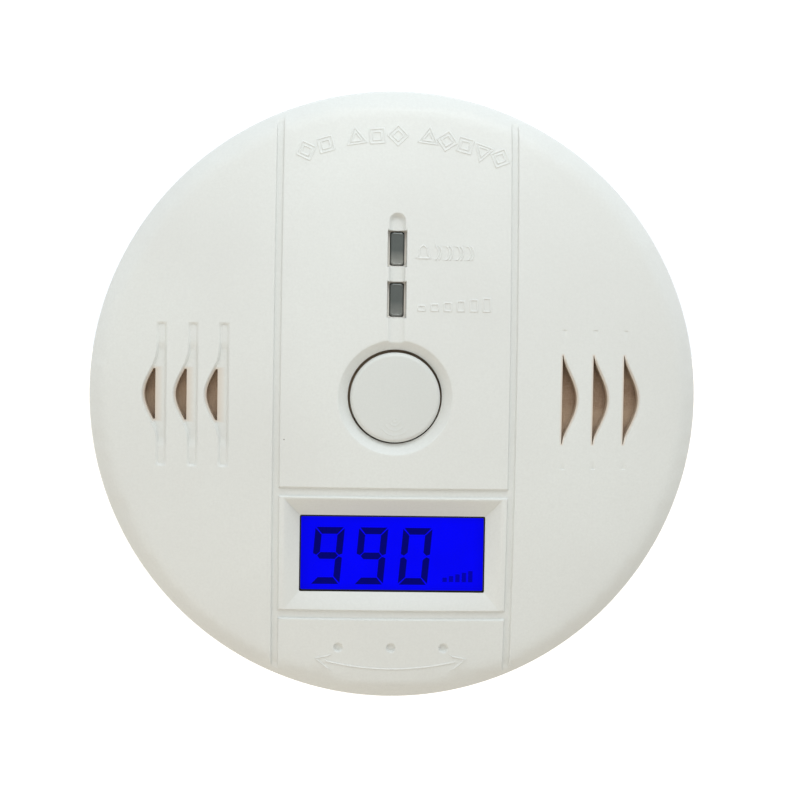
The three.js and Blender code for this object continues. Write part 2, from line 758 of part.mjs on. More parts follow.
addPiece("circuit_board", "board", circuitBoard());
addPiece("microcontroller", "black", microcontroller());
addPiece("step_up_coil", "copper", stepUpCoil());
addPiece("capacitor", "black", capacitor());
addPiece("transistor", "black", transistor());
addPiece("siren_housing", "black", sirenHousing());
addPiece("siren_piezo_plate", "brass", piezoPlate());
addPiece("siren_piezo_ceramic", "ceramic", piezoCeramic());
addPiece("co_sensor_body", "frost", sensorBody());
addPiece("co_sensor_cap", "steel", sensorCap());

[-1, 1, -1].forEach((side, i) => addPiece(`battery_${i + 1}`, "cell", cell(CELL.pitch * (1 - i), side)));
addPiece("battery_contact_positive", "steel", positiveContact());
addPiece("battery_contact_negative", "steel", negativeContact());
addPiece("battery_bridge_right", "steel", bridgeContact(1, CELL.pitch, 0));
addPiece("battery_bridge_left", "steel", bridgeContact(-1, 0, -CELL.pitch));
addPiece("battery_wire_red", "red", batteryWire(-1));
addPiece("battery_wire_black", "black", batteryWire(1));

BOARD_SCREWS.forEach((at, i) => {
  const z = BOARD.bottom - GAP - BOARD_SCREW.headHeight;
  addPiece(`board_screw_${i + 1}`, "steel", screw(at, z, BOARD_SCREW));
});
CASE_SCREWS.forEach((at, i) => {
  const z = CASE_SCREW.shelf - GAP - CASE_SCREW.headHeight;
  addPiece(`case_screw_${i + 1}`, "steel", screw(at, z, CASE_SCREW));
});

detector.rotation.x = Math.PI / 2;

export default detector;
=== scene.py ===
"""A battery-powered carbon monoxide detector on its wall bracket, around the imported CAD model.

Shapes are worked out as if the detector lay on its back: x to the right and y up across the face, z out of
the wall, in millimetres. Every piece is then stood up into the row frame, in metres, as it is made.
"""

import math
from functools import partial

import bpy
import numpy as np
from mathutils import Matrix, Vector
from mathutils.geometry import delaunay_2d_cdt


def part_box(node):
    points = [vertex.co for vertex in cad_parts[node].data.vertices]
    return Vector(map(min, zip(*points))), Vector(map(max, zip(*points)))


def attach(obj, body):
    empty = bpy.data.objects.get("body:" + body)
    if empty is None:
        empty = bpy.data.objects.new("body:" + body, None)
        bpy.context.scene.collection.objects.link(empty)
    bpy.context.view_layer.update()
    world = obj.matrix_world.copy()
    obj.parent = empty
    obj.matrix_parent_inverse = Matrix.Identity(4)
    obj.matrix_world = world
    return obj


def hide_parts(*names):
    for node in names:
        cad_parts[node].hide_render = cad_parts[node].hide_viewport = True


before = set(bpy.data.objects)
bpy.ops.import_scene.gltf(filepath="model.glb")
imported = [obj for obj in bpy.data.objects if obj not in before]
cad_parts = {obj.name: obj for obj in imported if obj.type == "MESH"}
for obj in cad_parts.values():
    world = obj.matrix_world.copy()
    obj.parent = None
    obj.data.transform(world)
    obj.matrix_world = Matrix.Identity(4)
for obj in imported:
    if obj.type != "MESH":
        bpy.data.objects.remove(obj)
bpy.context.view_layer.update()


def flat_box(node):
    """Lowest and highest corner of a CAD node as if it lay on its back, in millimetres."""
    low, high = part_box(node)
    return np.array([low.x, low.z, -high.y]) * 1000, np.array([high.x, high.z, -low.y]) * 1000


# ---- dimensions, in millimetres ----

COVER_LOW, COVER_HIGH = flat_box("front_cover")
RADIUS = COVER_HIGH[0] - 0.01
REAR_EDGE = COVER_LOW[2]
BUTTON_LOW, BUTTON_HIGH = flat_box("test_button")
GLASS_LOW, GLASS_HIGH = flat_box("display_glass")
DISPLAY_Y = (GLASS_LOW[1] + GLASS_HIGH[1]) / 2 - 0.12  # the window sits a little low over the glass
LAMPS = {"alarm_window": "alarm_light_pipe", "operate_window": "operate_light_pipe"}
QUARTERS = ((1, 1), (-1, 1), (-1, -1), (1, -1))

# the dome, its rounded edge and the shell under it
APEX = 37.6
DOME_RADIUS = 248.5
EDGE_RADIUS = 4.8
SHELL = 2.0
DOME_CENTRE = APEX - DOME_RADIUS
EDGE_R = RADIUS - EDGE_RADIUS
EDGE_Z = DOME_CENTRE + math.sqrt((DOME_RADIUS - EDGE_RADIUS) ** 2 - EDGE_R**2)
TANGENT_R = EDGE_R * DOME_RADIUS / (DOME_RADIUS - EDGE_RADIUS)
FACE_LIMIT = 49.4  # the face's height field ends here, and the rounded edge goes on
UNDER_LIMIT = FACE_LIMIT - SHELL + 0.1
REAR_LIP = 0.3
RIM_POINTS = 256
FACE_SPACING, UNDER_SPACING = 1.3, 3.0
DEEPEST = 3.0  # no hollow of the face is deeper

GROOVE_X = 19.0
GROOVE_YS = (-15.4, -35.5)
GROOVE_DEPTH = 0.45
UPRIGHT = (0.42, 0.66)  # half width of an upright groove's floor, and of its mouth
LEVEL = (0.6, 0.84)
GROOVE_FADE = (47.4, 48.9)

CHANNEL_TOP, CHANNEL_HALF, CHANNEL_FLOOR = 28.3, 1.32, 0.6
CHANNEL_DEPTHS = (0.45, 0.85)  # between the lamps and the dish, and above the lamps
LAMP_YS = [sum(corner[1] for corner in flat_box(node)) / 2 for node in LAMPS.values()]
LAMP_POCKET = (3.15, 5.95)
LAMP_HOLE = (2.36, 5.46)
POCKET_DEPTH, POCKET_EDGE = 1.4, 0.16
LENS = (2.1, 5.22)
DISH_OUTER, DISH_HOLE, DISH_DEPTH = 9.2, 7.6, 1.5
DISH_SHIFT = (-0.04, 0.12)  # the button sits a little low in its hole
WINDOW = (30.2, 12.5)
FUNNEL = (35.2, 18.2)
SILL = GLASS_HIGH[2] + 0.3
SILL_LIP = 0.2
DIMPLE_XS, DIMPLE_Y, DIMPLE_R, DIMPLE_DEPTH = (-8.6, 0.0, 8.6), -41.0, 0.85, 0.45
DIMPLE_FLOOR = 0.55  # how far a dimple's flat floor reaches, as a share of its radius

VENT_HALF, SWELL_HALF, VENT_WIDTH, VENT_LIP = 11.2, 7.2, 0.78, 0.4
LEFT_VENTS = {"side": -1, "xs": (-37.2, -32.1, -27.1), "start": 0.86, "power": 2, "depth": 0.6, "tail": 0.32}
RIGHT_VENTS = {"side": 1, "xs": (27.0, 32.1, 37.2), "start": 0.1, "power": 1.5, "depth": 0.4, "tail": 0.4}
SWELL_BULGE, TAIL_FADE = 2.4, 1.2
END_DENT = (0.16, 0.28, 1.2)  # depth, half width and length of the faint dents above and below a right vent
END_DENT_SHIFT, END_DENT_FADE = 0.3, 0.15
LEFT_HOLE = (1.45, 4.1)  # where a left vent's hole starts, and half its height

# the mouldings under the face
COLLAR_R, COLLAR_LOW = 10.7, 34.2  # round the button
DISPLAY_FRAME, DISPLAY_RECESS, FRAME_DEPTH = (41, 22.4), (37.4, 18.8), 3.4
SCREW_HOLE = 1.25
CASE_POST_AT, CASE_POST_R, CASE_HOLE_END = 41.5, 3.2, 23.0
BOARD_POST_AT, BOARD_POST_R, BOARD_POST_LOW, BOARD_HOLE_END = (20.5, 37.0), 2.8, 23.9, 30.0
VENT_PAD, VENT_PAD_SHIFT, VENT_PAD_DEPTH = (16.5, 19), 1.1, 0.5

BRACKET_RADIUS = flat_box("wall_bracket")[1][0]
BRACKET_PLATE, BRACKET_RIM, BRACKET_TOP, BRACKET_LIP = 2.0, 1.8, 5.0, 0.4
BRACKET_STEP, BRACKET_REAR_ROUND, BRACKET_ROUND = 2.6, 0.5, 0.3
KEYHOLE_Y, KEYHOLE_HEAD, KEYHOLE_SLOT = 28.5, 4.5, (4.6, 6.5)
SIDE_SLOT = (29.2, 32.8, 14)  # inner and outer radius, and half the angle
HOOK_WINDOW = (37.7, 40.2, 8)
HOOK_ANGLES, HOOK_HALF, HOOK_BEVEL = (0, 90, 180, 270), 8, 0.25
HOOK_OUTER, HOOK_POST, HOOK_LIP, HOOK_LEVELS = 42.0, 1.8, 4.0, (7.8, 9.2)
WALL_RINGS, WALL_RING_DEPTH = (16.0, 43.4), 0.3
EJECTOR_AT, EJECTOR_R, EJECTOR_DEPTH = 25, 1.6, 0.16
STIFFENER, STIFFENER_HEIGHT = (18.95, 20.05, 0.2), 0.8  # where its two slopes start, and their width

MARK_HEIGHT, BUTTON_MARK_HEIGHT = 0.12, 0.035
MARK_STEPS = (0.05, 0.1, 0.14, 0.19)
MARK_ARC, TURN_ARC = 42.2, 44.6  # radius of the row of marks at the top, and of the arrow at the bottom


# ---- flat lines ----


def polar(radius, degrees):
    angle = math.radians(degrees)
    return np.array([radius * math.cos(angle), radius * math.sin(angle)])


def arc(centre, radius, start, end, count):
    angles = np.radians(np.linspace(start, end, count))
    return np.array(centre) + radius * np.stack([np.cos(angles), np.sin(angles)], 1)


def ring(radius, count, centre=(0, 0)):
    return arc(centre, radius, 0, 360, count + 1)[:-1]


def straight(x, y):
    """A line of points that share one x or one y."""
    return np.stack(np.broadcast_arrays(x, y), 1)


def rectangle(xs, ys):
    return np.array([(xs[0], ys[0]), (xs[1], ys[0]), (xs[1], ys[1]), (xs[0], ys[1])])


def rounded_rectangle(width, height, corner, centre=(0, 0), per_corner=6, step=1.0, like=None):
    """A counter-clockwise loop with rounded corners. Its sides are cut into steps of about `step`, or into
    as many as a rectangle of the size `like` has."""
    x, y = width / 2 - corner, height / 2 - corner
    corners = [(x, y, 0), (-x, y, 90), (-x, -y, 180), (x, -y, 270)]
    arcs = [arc((cx, cy), corner, a, a + 90, per_corner) for cx, cy, a in corners]
    sides = [max(1, round(side / step)) for side in (like or (width, height)) * 2]
    loop = []
    for i, points in enumerate(arcs):
        following = arcs[(i + 1) % 4][0]
        share = np.linspace(0, 1, sides[i] + 1)[1:-1, None]
        loop += [points, points[-1] + (following - points[-1]) * share]
    return np.concatenate(loop) + np.array(centre)


def densify(points, step, closed=True):
    """Adds points along a line so that none is further than `step` from the next."""
    ends = np.roll(points, -1, 0) if closed else points[1:]
    made = []
    for a, b in zip(points, ends):
        count = max(1, math.ceil(np.linalg.norm(b - a) / step - 1e-6))
        made.append(a + (b - a) * (np.arange(count) / count)[:, None])
    if not closed:
        made.append(points[-1:])
    return np.concatenate(made)


def offset(points, distance, closed=True):
    """The line `distance` to the right of a line, which is outside a counter-clockwise loop."""
    along = np.roll(points, -1, 0) - points
    if not closed:
        along[-1] = along[-2]
    along /= np.linalg.norm(along, axis=1)[:, None]
    before = np.roll(along, 1, 0)
    if not closed:
        before[0] = along[0]
    a, b = (np.stack([t[:, 1], -t[:, 0]], 1) for t in (before, along))
    return points + distance * (a + b) / np.maximum(1 + (a * b).sum(1), 0.4)[:, None]


def near(points, line, margin):
    """Which points lie within `margin` of a line's bounding box."""
    low, high = line.min(0) - margin, line.max(0) + margin
    return np.flatnonzero(((points > low) & (points < high)).all(1))


def line_distance(points, line, closed):
    ends = np.roll(line, -1, 0) if closed else line[1:]
    best = np.full(len(points), 1e9)
    for a, b in zip(line, ends):
        ab = b - a
        t = np.clip((points - a) @ ab / (ab @ ab), 0, 1)[:, None]
        best = np.minimum(best, np.linalg.norm(points - a - t * ab, axis=1))
    return best


def inside(points, loop):
    x, y = points.T
    found = np.zeros(len(points), bool)
    for (ax, ay), (bx, by) in zip(loop, np.roll(loop, -1, 0)):
        if ay != by:
            found ^= ((ay > y) != (by > y)) & (x < (bx - ax) * (y - ay) / (by - ay) + ax)
    return found


def signed_distance(points, loop):
    distance = line_distance(points, loop, True)
    return np.where(inside(points, loop), -distance, distance)


def smooth_step(t):
    t = np.clip(t, 0, 1)
    return t * t * (3 - 2 * t)


def falling(value, start, end):
    """1 before `start` and 0 after `end`, with a smooth slope between."""
    return 1 - smooth_step((value - start) / (end - start))


def both_sides(steps):
    """No step, and each step to either side."""
    return [0, *(way * step for step in steps for way in (1, -1))]


def positive(value, softness):
    """The value where it is above zero, and nearly zero elsewhere, with a rounded corner between."""
    return (value + np.sqrt(value * value + softness * softness)) / 2


# ---- triangulated solids ----


def triangulate(outline, openings, lines, spacing, margin=0.05):
    """Triangles over a flat outline with openings, with edges along the given lines.
    Returns the points, the triangles, and the numbers of the points along the outline and each opening."""
    points, edges, loops = [], [], []
    count = 0
    for loop in [outline, *openings]:
        numbers = np.arange(count, count + len(loop))
        points.append(loop)
        edges.append(np.stack([numbers, np.roll(numbers, -1)], 1))
        loops.append(numbers)
        count += len(loop)

    def clear(candidates, gap):
        keep = inside(candidates, outline)
        close = near(candidates, outline, gap)
        keep[close] &= line_distance(candidates[close], outline, True) > gap
        for opening in openings:
            close = near(candidates, opening, gap)
            keep[close] &= signed_distance(candidates[close], opening) > gap
        return keep

    for line, closed in lines:
        keep = clear(line, margin)
        numbers = np.arange(count, count + len(line))
        following = np.roll(np.arange(len(line)), -1)
        linked = keep & keep[following]
        if not closed:
            linked[-1] = False
        points.append(line)
        edges.append(np.stack([numbers, numbers[following]], 1)[linked])
        numbers[~keep] = -1
        count += len(line)
        points[-1] = np.where(keep[:, None], line, np.nan)

    taken = np.concatenate(points)
    low, high = outline.min(0), outline.max(0)
    xs = np.arange(low[0] + spacing / 2, high[0], spacing)
    ys = np.arange(low[1] + spacing / 2, high[1], spacing * 0.9)
    grid = np.stack(np.meshgrid(xs, ys), -1)
    grid[1::2, :, 0] += spacing / 2
    grid = grid.reshape(-1, 2)
    grid = grid[clear(grid, spacing * 0.3)]
    cell = spacing * 0.4
    cells = {tuple(c) for c in np.floor(taken[~np.isnan(taken[:, 0])] / cell).astype(int)}
    free = [
        not any((cx + i, cy + j) in cells for i in (-1, 0, 1) for j in (-1, 0, 1))
        for cx, cy in np.floor(grid / cell).astype(int)
    ]
    taken = np.concatenate([taken, grid[free]])

    kept = np.flatnonzero(~np.isnan(taken[:, 0]))
    renumber = np.full(len(taken), -1)
    renumber[kept] = np.arange(len(kept))
    coordinates = [Vector(p) for p in taken[kept]]
    pairs = [tuple(map(int, e)) for e in renumber[np.concatenate(edges)]]
    made = delaunay_2d_cdt(coordinates, pairs, [], 0, 1e-5, True)
    flat = np.array([tuple(v) for v in made[0]])
    triangles = np.array([f for f in made[2] if len(f) == 3])
    where = np.zeros(len(kept), int)
    for number, originals in enumerate(made[3]):
        for original in originals:
            where[original] = number

    a, b, c = (flat[triangles[:, i]] for i in range(3))
    area = (b[:, 0] - a[:, 0]) * (c[:, 1] - a[:, 1]) - (b[:, 1] - a[:, 1]) * (c[:, 0] - a[:, 0])
    triangles[area < 0] = triangles[area < 0][:, ::-1]
    middle = (a + b + c) / 3
    keep = inside(middle, outline) & (np.abs(area) > 1e-10)
    for opening in openings:
        close = near(middle, opening, 0)
        keep[close] &= ~inside(middle[close], opening)
    triangles = triangles[keep]
    used, triangles = np.unique(triangles, return_inverse=True)
    triangles = triangles.reshape(-1, 3)
    back = np.full(len(flat), -1)
    back[used] = np.arange(len(used))
    return flat[used], triangles, [back[where[renumber[loop]]] for loop in loops]


def put(name, data):
    made = bpy.data.objects.new(name, data)
    bpy.context.scene.collection.objects.link(made)
    return made


class Solid:
    """Gathers the points and triangles of a piece, in groups that are smooth within themselves."""

    def __init__(self):
        self.points, self.count, self.groups, self.shade_share = [], 0, {}, []

    def add(self, points):
        self.points.append(np.asarray(points, float))
        self.count += len(points)
        return np.arange(self.count - len(points), self.count)

    def faces(self, group, triangles):
        self.groups.setdefault(group, []).append(np.asarray(triangles, int))

    def bridge(self, group, upper, lower, inwards=False):
        """A wall from an upper loop down to a lower one with as many points, facing out of the loops."""
        a, b = np.asarray(upper), np.asarray(lower)
        a2, b2 = np.roll(a, -1), np.roll(b, -1)
        triangles = np.concatenate([np.stack([a, b, b2], 1), np.stack([a, b2, a2], 1)])
        self.faces(group, triangles[:, ::-1] if inwards else triangles)

    def level(self, loop, z):
        """A copy of a flat loop at one height."""
        z = np.broadcast_to(z, len(loop))
        return self.add(np.column_stack([loop, z]))

    def sheet(self, group, flat, triangles, z, downwards=False):
        numbers = self.add(np.column_stack([flat, z]))
        found = numbers[triangles]
        self.faces(group, found[:, ::-1] if downwards else found)
        return numbers

    def cap(self, group, loop, z, downwards=False):
        """A flat face within a loop of points, with the loop's numbers."""
        flat, triangles, loops = triangulate(loop, [], [], 1e3)
        numbers = self.sheet(group, flat, triangles, np.full(len(flat), z), downwards)
        return numbers[loops[0]]

    def descend(self, upper, rows, shape, shade_share=0.0):
        """Walls down from a loop. A row is a group, a size that `shape` makes into a loop, and a level."""
        # each new level gets the given share of painted shade
        for group, size, z in rows:
            lower = self.level(shape(size), z)
            self.bridge(group, upper, lower)
            self.painted_shade(lower, shade_share)
            upper = lower
        return upper

    def prism(self, loop, low, high):
        """A flat plate with the outline of a counter-clockwise loop."""
        upper = self.cap("top", loop, high)
        lower = self.cap("bottom", loop, low, True)
        self.bridge("sides", upper, lower)

    def painted_shade(self, numbers, share=1.0):
        """Paints shade: the share of browner, darker plastic that stands in for shade at these points."""
        self.shade_share.append((numbers, share))

    def weld(self, a, b):
        """Makes the points b the same as the points a."""
        renumber = np.arange(self.count)
        renumber[b] = a
        self.groups = {g: [renumber[t] for t in ts] for g, ts in self.groups.items()}

    def build(self, name, body, material, replaces=None):
        """Makes the piece, stood up into the row frame, and says what it rides on and replaces."""
        points = np.concatenate(self.points)
        groups = [np.concatenate(ts) for ts in self.groups.values()]
        everything = np.concatenate(groups)
        used = np.unique(everything)
        renumber = np.full(len(points), -1)
        renumber[used] = np.arange(len(used))
        points = points[used]
        row = np.stack([points[:, 0], -points[:, 2], points[:, 1]], 1) / 1000
        triangles, normals = [], []
        for group in groups:
            group = renumber[group]
            a, b, c = (row[group[:, i]] for i in range(3))
            face_normals = np.cross(b - a, c - a)
            total = np.zeros_like(row)
            for i in range(3):
                np.add.at(total, group[:, i], face_normals)
            length = np.linalg.norm(total, axis=1)
            total /= np.maximum(length, 1e-30)[:, None]
            triangles.append(group)
            normals.append(total[group].reshape(-1, 3))
        triangles = np.concatenate(triangles)
        mesh = bpy.data.meshes.new(name)
        mesh.from_pydata(row.tolist(), [], triangles.tolist())
        # painted shade: each point's share of browner, darker plastic, kept as an attribute for the finish
        shade_share = np.zeros(self.count)
        for numbers, share in self.shade_share:
            shade_share[numbers] = np.maximum(shade_share[numbers], share)
        mesh.attributes.new("painted_shade", "FLOAT", "POINT").data.foreach_set("value", shade_share[used])
        mesh.shade_smooth()
        mesh.normals_split_custom_set(np.concatenate(normals).tolist())
        mesh.materials.append(material)
        piece = put(name, mesh)
        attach(piece, body)
        if replaces:
            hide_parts(replaces)


# ---- materials ----

SRGB_POWER = 2.2
# shares of painted shade on the lamp ledges and on the lips round the vents' holes
LEDGE_SHADE, LIP_SHADE = 0.3, 0.55
LENS_PAINTED_LIGHT = (1.25, 0.75)  # how much painted light pales the lower half of the alarm and of the operate window
PAINTED_SHADE_KEEP = (0.86, 0.66, 0.5)  # how much of each colour a surface keeps under full painted shade
FELT = ((182, 159, 139), (160, 136, 116), (204, 182, 158))


def linear(red, green, blue):
    """A display colour from 0 to 255 as the linear colour of a shader."""
    return (*((c / 255) ** SRGB_POWER for c in (red, green, blue)), 1)


def dimmed(colour, shares):
    return (*(c * share for c, share in zip(colour, shares)), 1)


class Nodes:
    """A node tree with the few procedural nodes that the finishes and the sky share."""

    def __init__(self, tree, coordinates="Object"):
        self.tree = tree
        self.coordinates = self.node("TexCoord").outputs[coordinates]

    def feed(self, socket, value):
        """Gives a socket a value, or links another socket to it."""
        if isinstance(value, bpy.types.NodeSocket):
            self.tree.links.new(value, socket)
        elif value is not None:
            socket.default_value = value

    def node(self, kind, inputs=(), **settings):
        made = self.tree.nodes.new("ShaderNode" + kind)
        for key, value in settings.items():
            setattr(made, key, value)
        for socket, value in dict(inputs).items():
            self.feed(made.inputs[socket], value)
        return made

    def split(self):
        return self.node("SeparateXYZ", {"Vector": self.coordinates}).outputs

    def noise(self, scale, detail=3, roughness=0.5, stretch=None):
        where = self.coordinates
        if stretch:
            where = self.node("Mapping", {"Vector": where, "Scale": stretch}).outputs["Vector"]
        inputs = {"Vector": where, "Scale": scale, "Detail": detail, "Roughness": roughness}
        return self.node("TexNoise", inputs).outputs["Fac"]

    def remap(self, value, low, high, to_low=0.0, to_high=1.0):
        inputs = {"Value": value, "From Min": low, "From Max": high, "To Min": to_low, "To Max": to_high}
        return self.node("MapRange", inputs).outputs["Result"]

    def blend(self, share, first, second):
        mixed = self.node("Mix", data_type="RGBA")
        sockets = {"Factor_Float": share, "A_Color": first, "B_Color": second}
        for socket in mixed.inputs:
            self.feed(socket, sockets.get(socket.identifier))
        return next(s for s in mixed.outputs if s.identifier == "Result_Color")

    def math(self, operation, *values):
        made = self.node("Math", operation=operation)
        for socket, value in zip(made.inputs, values):
            self.feed(socket, value)
        return made.outputs["Value"]


class Shader(Nodes):
    """A Principled material, with values for some of its sockets."""

    def __init__(self, name, **fixed):
        self.material = bpy.data.materials.new(name)
        self.material.use_nodes = True
        super().__init__(self.material.node_tree)
        self.surface = self.tree.nodes["Principled BSDF"]
        for socket, value in fixed.items():
            self.surface.inputs[socket.replace("_", " ")].default_value = value

    def to(self, socket, value):
        self.tree.links.new(value, self.surface.inputs[socket])

    def bump(self, height, distance, before=None):
        made = self.node("Bump", {"Height": height, "Distance": distance, "Strength": 1.0})
        self.feed(made.inputs["Normal"], before)
        self.to("Normal", made.outputs["Normal"])
        return made.outputs["Normal"]


def moulded(name, colour, shade, roughness=0.42, grain=2600, depth=0.000012, specks=False):
    """An injection-moulded plastic: a slow drift of tone, a fine eroded grain, a faint orange peel and
    painted shade.
    """
    s = Shader(name, Roughness=roughness, IOR=1.47, Specular_IOR_Level=0.4)
    drift = s.remap(s.noise(28, 2), 0.35, 0.65)
    tone = s.blend(drift, linear(*colour), linear(*shade))
    fine = s.noise(grain, 4, 0.6)
    mottle = s.remap(fine, 0.3, 0.7, 0.0, 0.35)
    tone = s.blend(mottle, tone, dimmed(linear(*shade), (0.9, 0.9, 0.9)))
    if specks:
        cells = s.node("TexVoronoi", {"Vector": s.coordinates, "Scale": 210.0, "Randomness": 1.0})
        dot = s.remap(cells.outputs["Distance"], 0.018, 0.032, 1.0, 0.0)
        chosen = s.math("GREATER_THAN", s.noise(61, 0), 0.72)
        tone = s.blend(s.math("MULTIPLY", dot, chosen), tone, linear(96, 84, 72))
    # painted shade: browner and darker where the attribute says, for the shade in openings and gaps
    shade_share = s.node("Attribute", attribute_name="painted_shade").outputs["Fac"]
    s.to("Base Color", s.blend(shade_share, tone, dimmed(linear(*shade), PAINTED_SHADE_KEEP)))
    s.to("Roughness", s.remap(s.noise(grain * 0.35, 3), 0.3, 0.7, roughness - 0.05, roughness + 0.08))
    peel = s.bump(s.noise(grain * 0.3, 2), depth * 2.5)
    s.bump(fine, depth, peel)
    return s.material


def metal(name, colour, shade, roughness=0.3, stretch=(1, 1, 18), scale=900):
    """A drawn or rolled metal: streaks along one axis, and patches of tarnish."""
    s = Shader(name, Metallic=1.0)
    streak = s.noise(scale, 3, 0.6, stretch)
    tarnish = s.remap(s.noise(160, 4), 0.42, 0.68)
    tone = s.blend(s.remap(streak, 0.3, 0.7, 0, 0.5), linear(*colour), linear(*shade))
    s.to("Base Color", s.blend(s.math("MULTIPLY", tarnish, 0.45), tone, linear(*(c * 0.62 for c in shade))))
    s.to("Roughness", s.remap(streak, 0.3, 0.7, roughness - 0.08, roughness + 0.14))
    s.bump(streak, 0.000006)
    return s.material


def paper_board(name):
    """Brown phenolic board with its paper weave and darker blotches."""
    s = Shader(name, Roughness=0.6)
    threads = [s.math("MULTIPLY", s.noise(900, 3, 0.6, along), 0.5) for along in ((1, 1, 9), (9, 1, 1))]
    weave = s.math("ADD", *threads)
    tone = s.blend(s.remap(weave, 0.38, 0.62), linear(196, 168, 138), linear(160, 130, 102))
    blotch = s.remap(s.noise(70, 4), 0.45, 0.7, 0, 0.5)
    s.to("Base Color", s.blend(blotch, tone, linear(134, 106, 80)))
    s.to("Roughness", s.remap(weave, 0.35, 0.65, 0.5, 0.7))
    s.bump(weave, 0.00001)
    return s.material


def felt(name):
    """Brown dust felt: crossed fibres with paler and darker bands across it."""
    s = Shader(name, Roughness=0.95, Specular_IOR_Level=0.1)
    fibres = s.math("ADD", *(s.noise(1500, 4, 0.7, along) for along in ((1, 1, 5), (6, 1, 1))))
    tone = s.blend(s.remap(fibres, 0.75, 1.25), linear(*FELT[0]), linear(*FELT[1]))
    bands = s.remap(s.noise(260, 1, 0.4, (0.15, 1, 1)), 0.42, 0.6, 0, 0.55)
    s.to("Base Color", s.blend(bands, tone, linear(*FELT[2])))
    s.to("Roughness", s.remap(fibres, 0.7, 1.3, 0.85, 1.0))
    s.bump(fibres, 0.00004)
    return s.material


def smoked(name):
    """A smoked acrylic light window, dark at the top, with painted light that pales it below, where light
    gathers.
    """
    s = Shader(name, Roughness=0.16, IOR=1.49, Coat_Weight=0.35, Coat_Roughness=0.08)
    where = s.split()["Z"]
    share = 0.0
    # painted light: each window drawn paler towards its lower edge
    for y, paleness in zip(LAMP_YS, LENS_PAINTED_LIGHT):
        within = s.math("COMPARE", where, y / 1000, LENS[1] / 2000)
        glow = s.remap(where, (y - 2.6) / 1000, (y - 0.2) / 1000, paleness, 0.0)
        share = s.math("ADD", share, s.math("MULTIPLY", glow, within))
    share = s.math("MULTIPLY", share, s.remap(s.noise(1400, 3), 0.3, 0.7, 0.75, 1.0))
    s.to("Base Color", s.blend(share, linear(86, 91, 89), linear(142, 143, 138)))
    s.to("Roughness", s.remap(s.noise(3000, 2), 0.3, 0.7, 0.12, 0.24))
    s.bump(s.noise(1100, 2), 0.000008)
    return s.material


def backlit(name, colour, dim, grain=4200):
    """A lit liquid crystal layer, a little uneven and darker towards its edges."""
    s = Shader(name, Base_Color=(0, 0, 0.01, 1), Roughness=0.3, Emission_Strength=1, Specular_IOR_Level=0.04)
    cloud = s.remap(s.noise(120, 3), 0.3, 0.75, 0, 0.45)
    rows = s.remap(s.noise(grain, 2), 0.3, 0.7, 0, 0.2)
    where = s.split()
    x = s.math("ABSOLUTE", where["X"])
    y = s.math("ABSOLUTE", s.math("SUBTRACT", where["Z"], DISPLAY_Y / 1000))
    edges = s.math("ADD", s.remap(x, 0.0132, 0.0152, 0, 0.5), s.remap(y, 0.0048, 0.0064, 0, 0.5))
    share = s.math("ADD", edges, s.math("ADD", cloud, rows))
    s.to("Emission Color", s.blend(share, linear(*colour), linear(*dim)))
    s.to("Roughness", s.remap(s.noise(grain, 2), 0.3, 0.7, 0.24, 0.36))
    s.bump(s.noise(grain, 1), 0.000003)
    return s.material


WHITE = moulded("casing_white_grained", (216, 219, 216), (211, 213, 210), specks=True)
BUTTON_WHITE = moulded("button_white_satin", (208, 211, 208), (204, 207, 204), 0.38, 3400, 0.000007)
# partly painted shade: a black film over the glass's border, whose thin dark line in the window stands in for
# the gap's shade
GAP_SHADE_FILM = moulded("black_film_gap_shade", (22, 20, 20), (14, 12, 12), 0.6, 3000, 0.000004)
SEGMENT = backlit("lcd_segment_navy", (2, 8, 112), (2, 4, 92))
FAINT = backlit("lcd_mark_faint", (2, 2, 176), (2, 2, 150))
FINISHES = {  # by the record's material slots
    "casing_white": moulded("rear_white_grained", (224, 224, 219), (217, 217, 210), 0.5, 1900, 0.000018),
    "smoke_lens": smoked("smoked_acrylic"),
    "display": backlit("lcd_backlit_blue", (3, 3, 255), (3, 2, 222)),
    "diffuser": moulded("frosted_diffuser", (226, 230, 234), (212, 217, 222), 0.5, 1500, 0.00001),
    "board": paper_board("phenolic_board"),
    "screen": felt("brown_dust_felt"),
    "black_plastic": moulded("black_plastic_grained", (36, 36, 38), (26, 26, 28), 0.45, 2200, 0.000012),
    "brass": metal("brass_sheet", (206, 176, 108), (176, 142, 78), 0.28, (1, 1, 14), 700),
    "ceramic": moulded("fired_ceramic", (216, 212, 200), (196, 190, 176), 0.55, 2600, 0.000014),
    "steel": metal("nickelled_steel", (190, 194, 198), (160, 164, 168)),
    "copper": metal("enamelled_copper", (186, 108, 66), (150, 78, 44), 0.35, (1, 40, 1), 900),
    "red_plastic": moulded("red_plastic_waxy", (176, 42, 34), (150, 30, 26), 0.35, 2400, 0.000006),
    "green_plastic": moulded("green_epoxy", (63, 154, 72), (48, 128, 58), 0.25, 2400, 0.000004),
    "rubber": moulded("conductive_rubber", (201, 163, 160), (176, 138, 134), 0.8, 1300, 0.00002),
    "cell": moulded("cell_wrap", (48, 70, 60), (38, 56, 48), 0.32, 700, 0.000006),
}


# ---- the front cover ----


def face_z(r, inset=0.0):
    """Height of the dome and its rounded edge, set back by `inset`."""
    dome = DOME_CENTRE + np.sqrt((DOME_RADIUS - inset) ** 2 - r * r)
    across = np.clip(r - EDGE_R, 0, None)
    edge = EDGE_Z + np.sqrt(np.maximum((EDGE_RADIUS - inset) ** 2 - across**2, 0))
    return np.where(r < TANGENT_R, dome, edge)


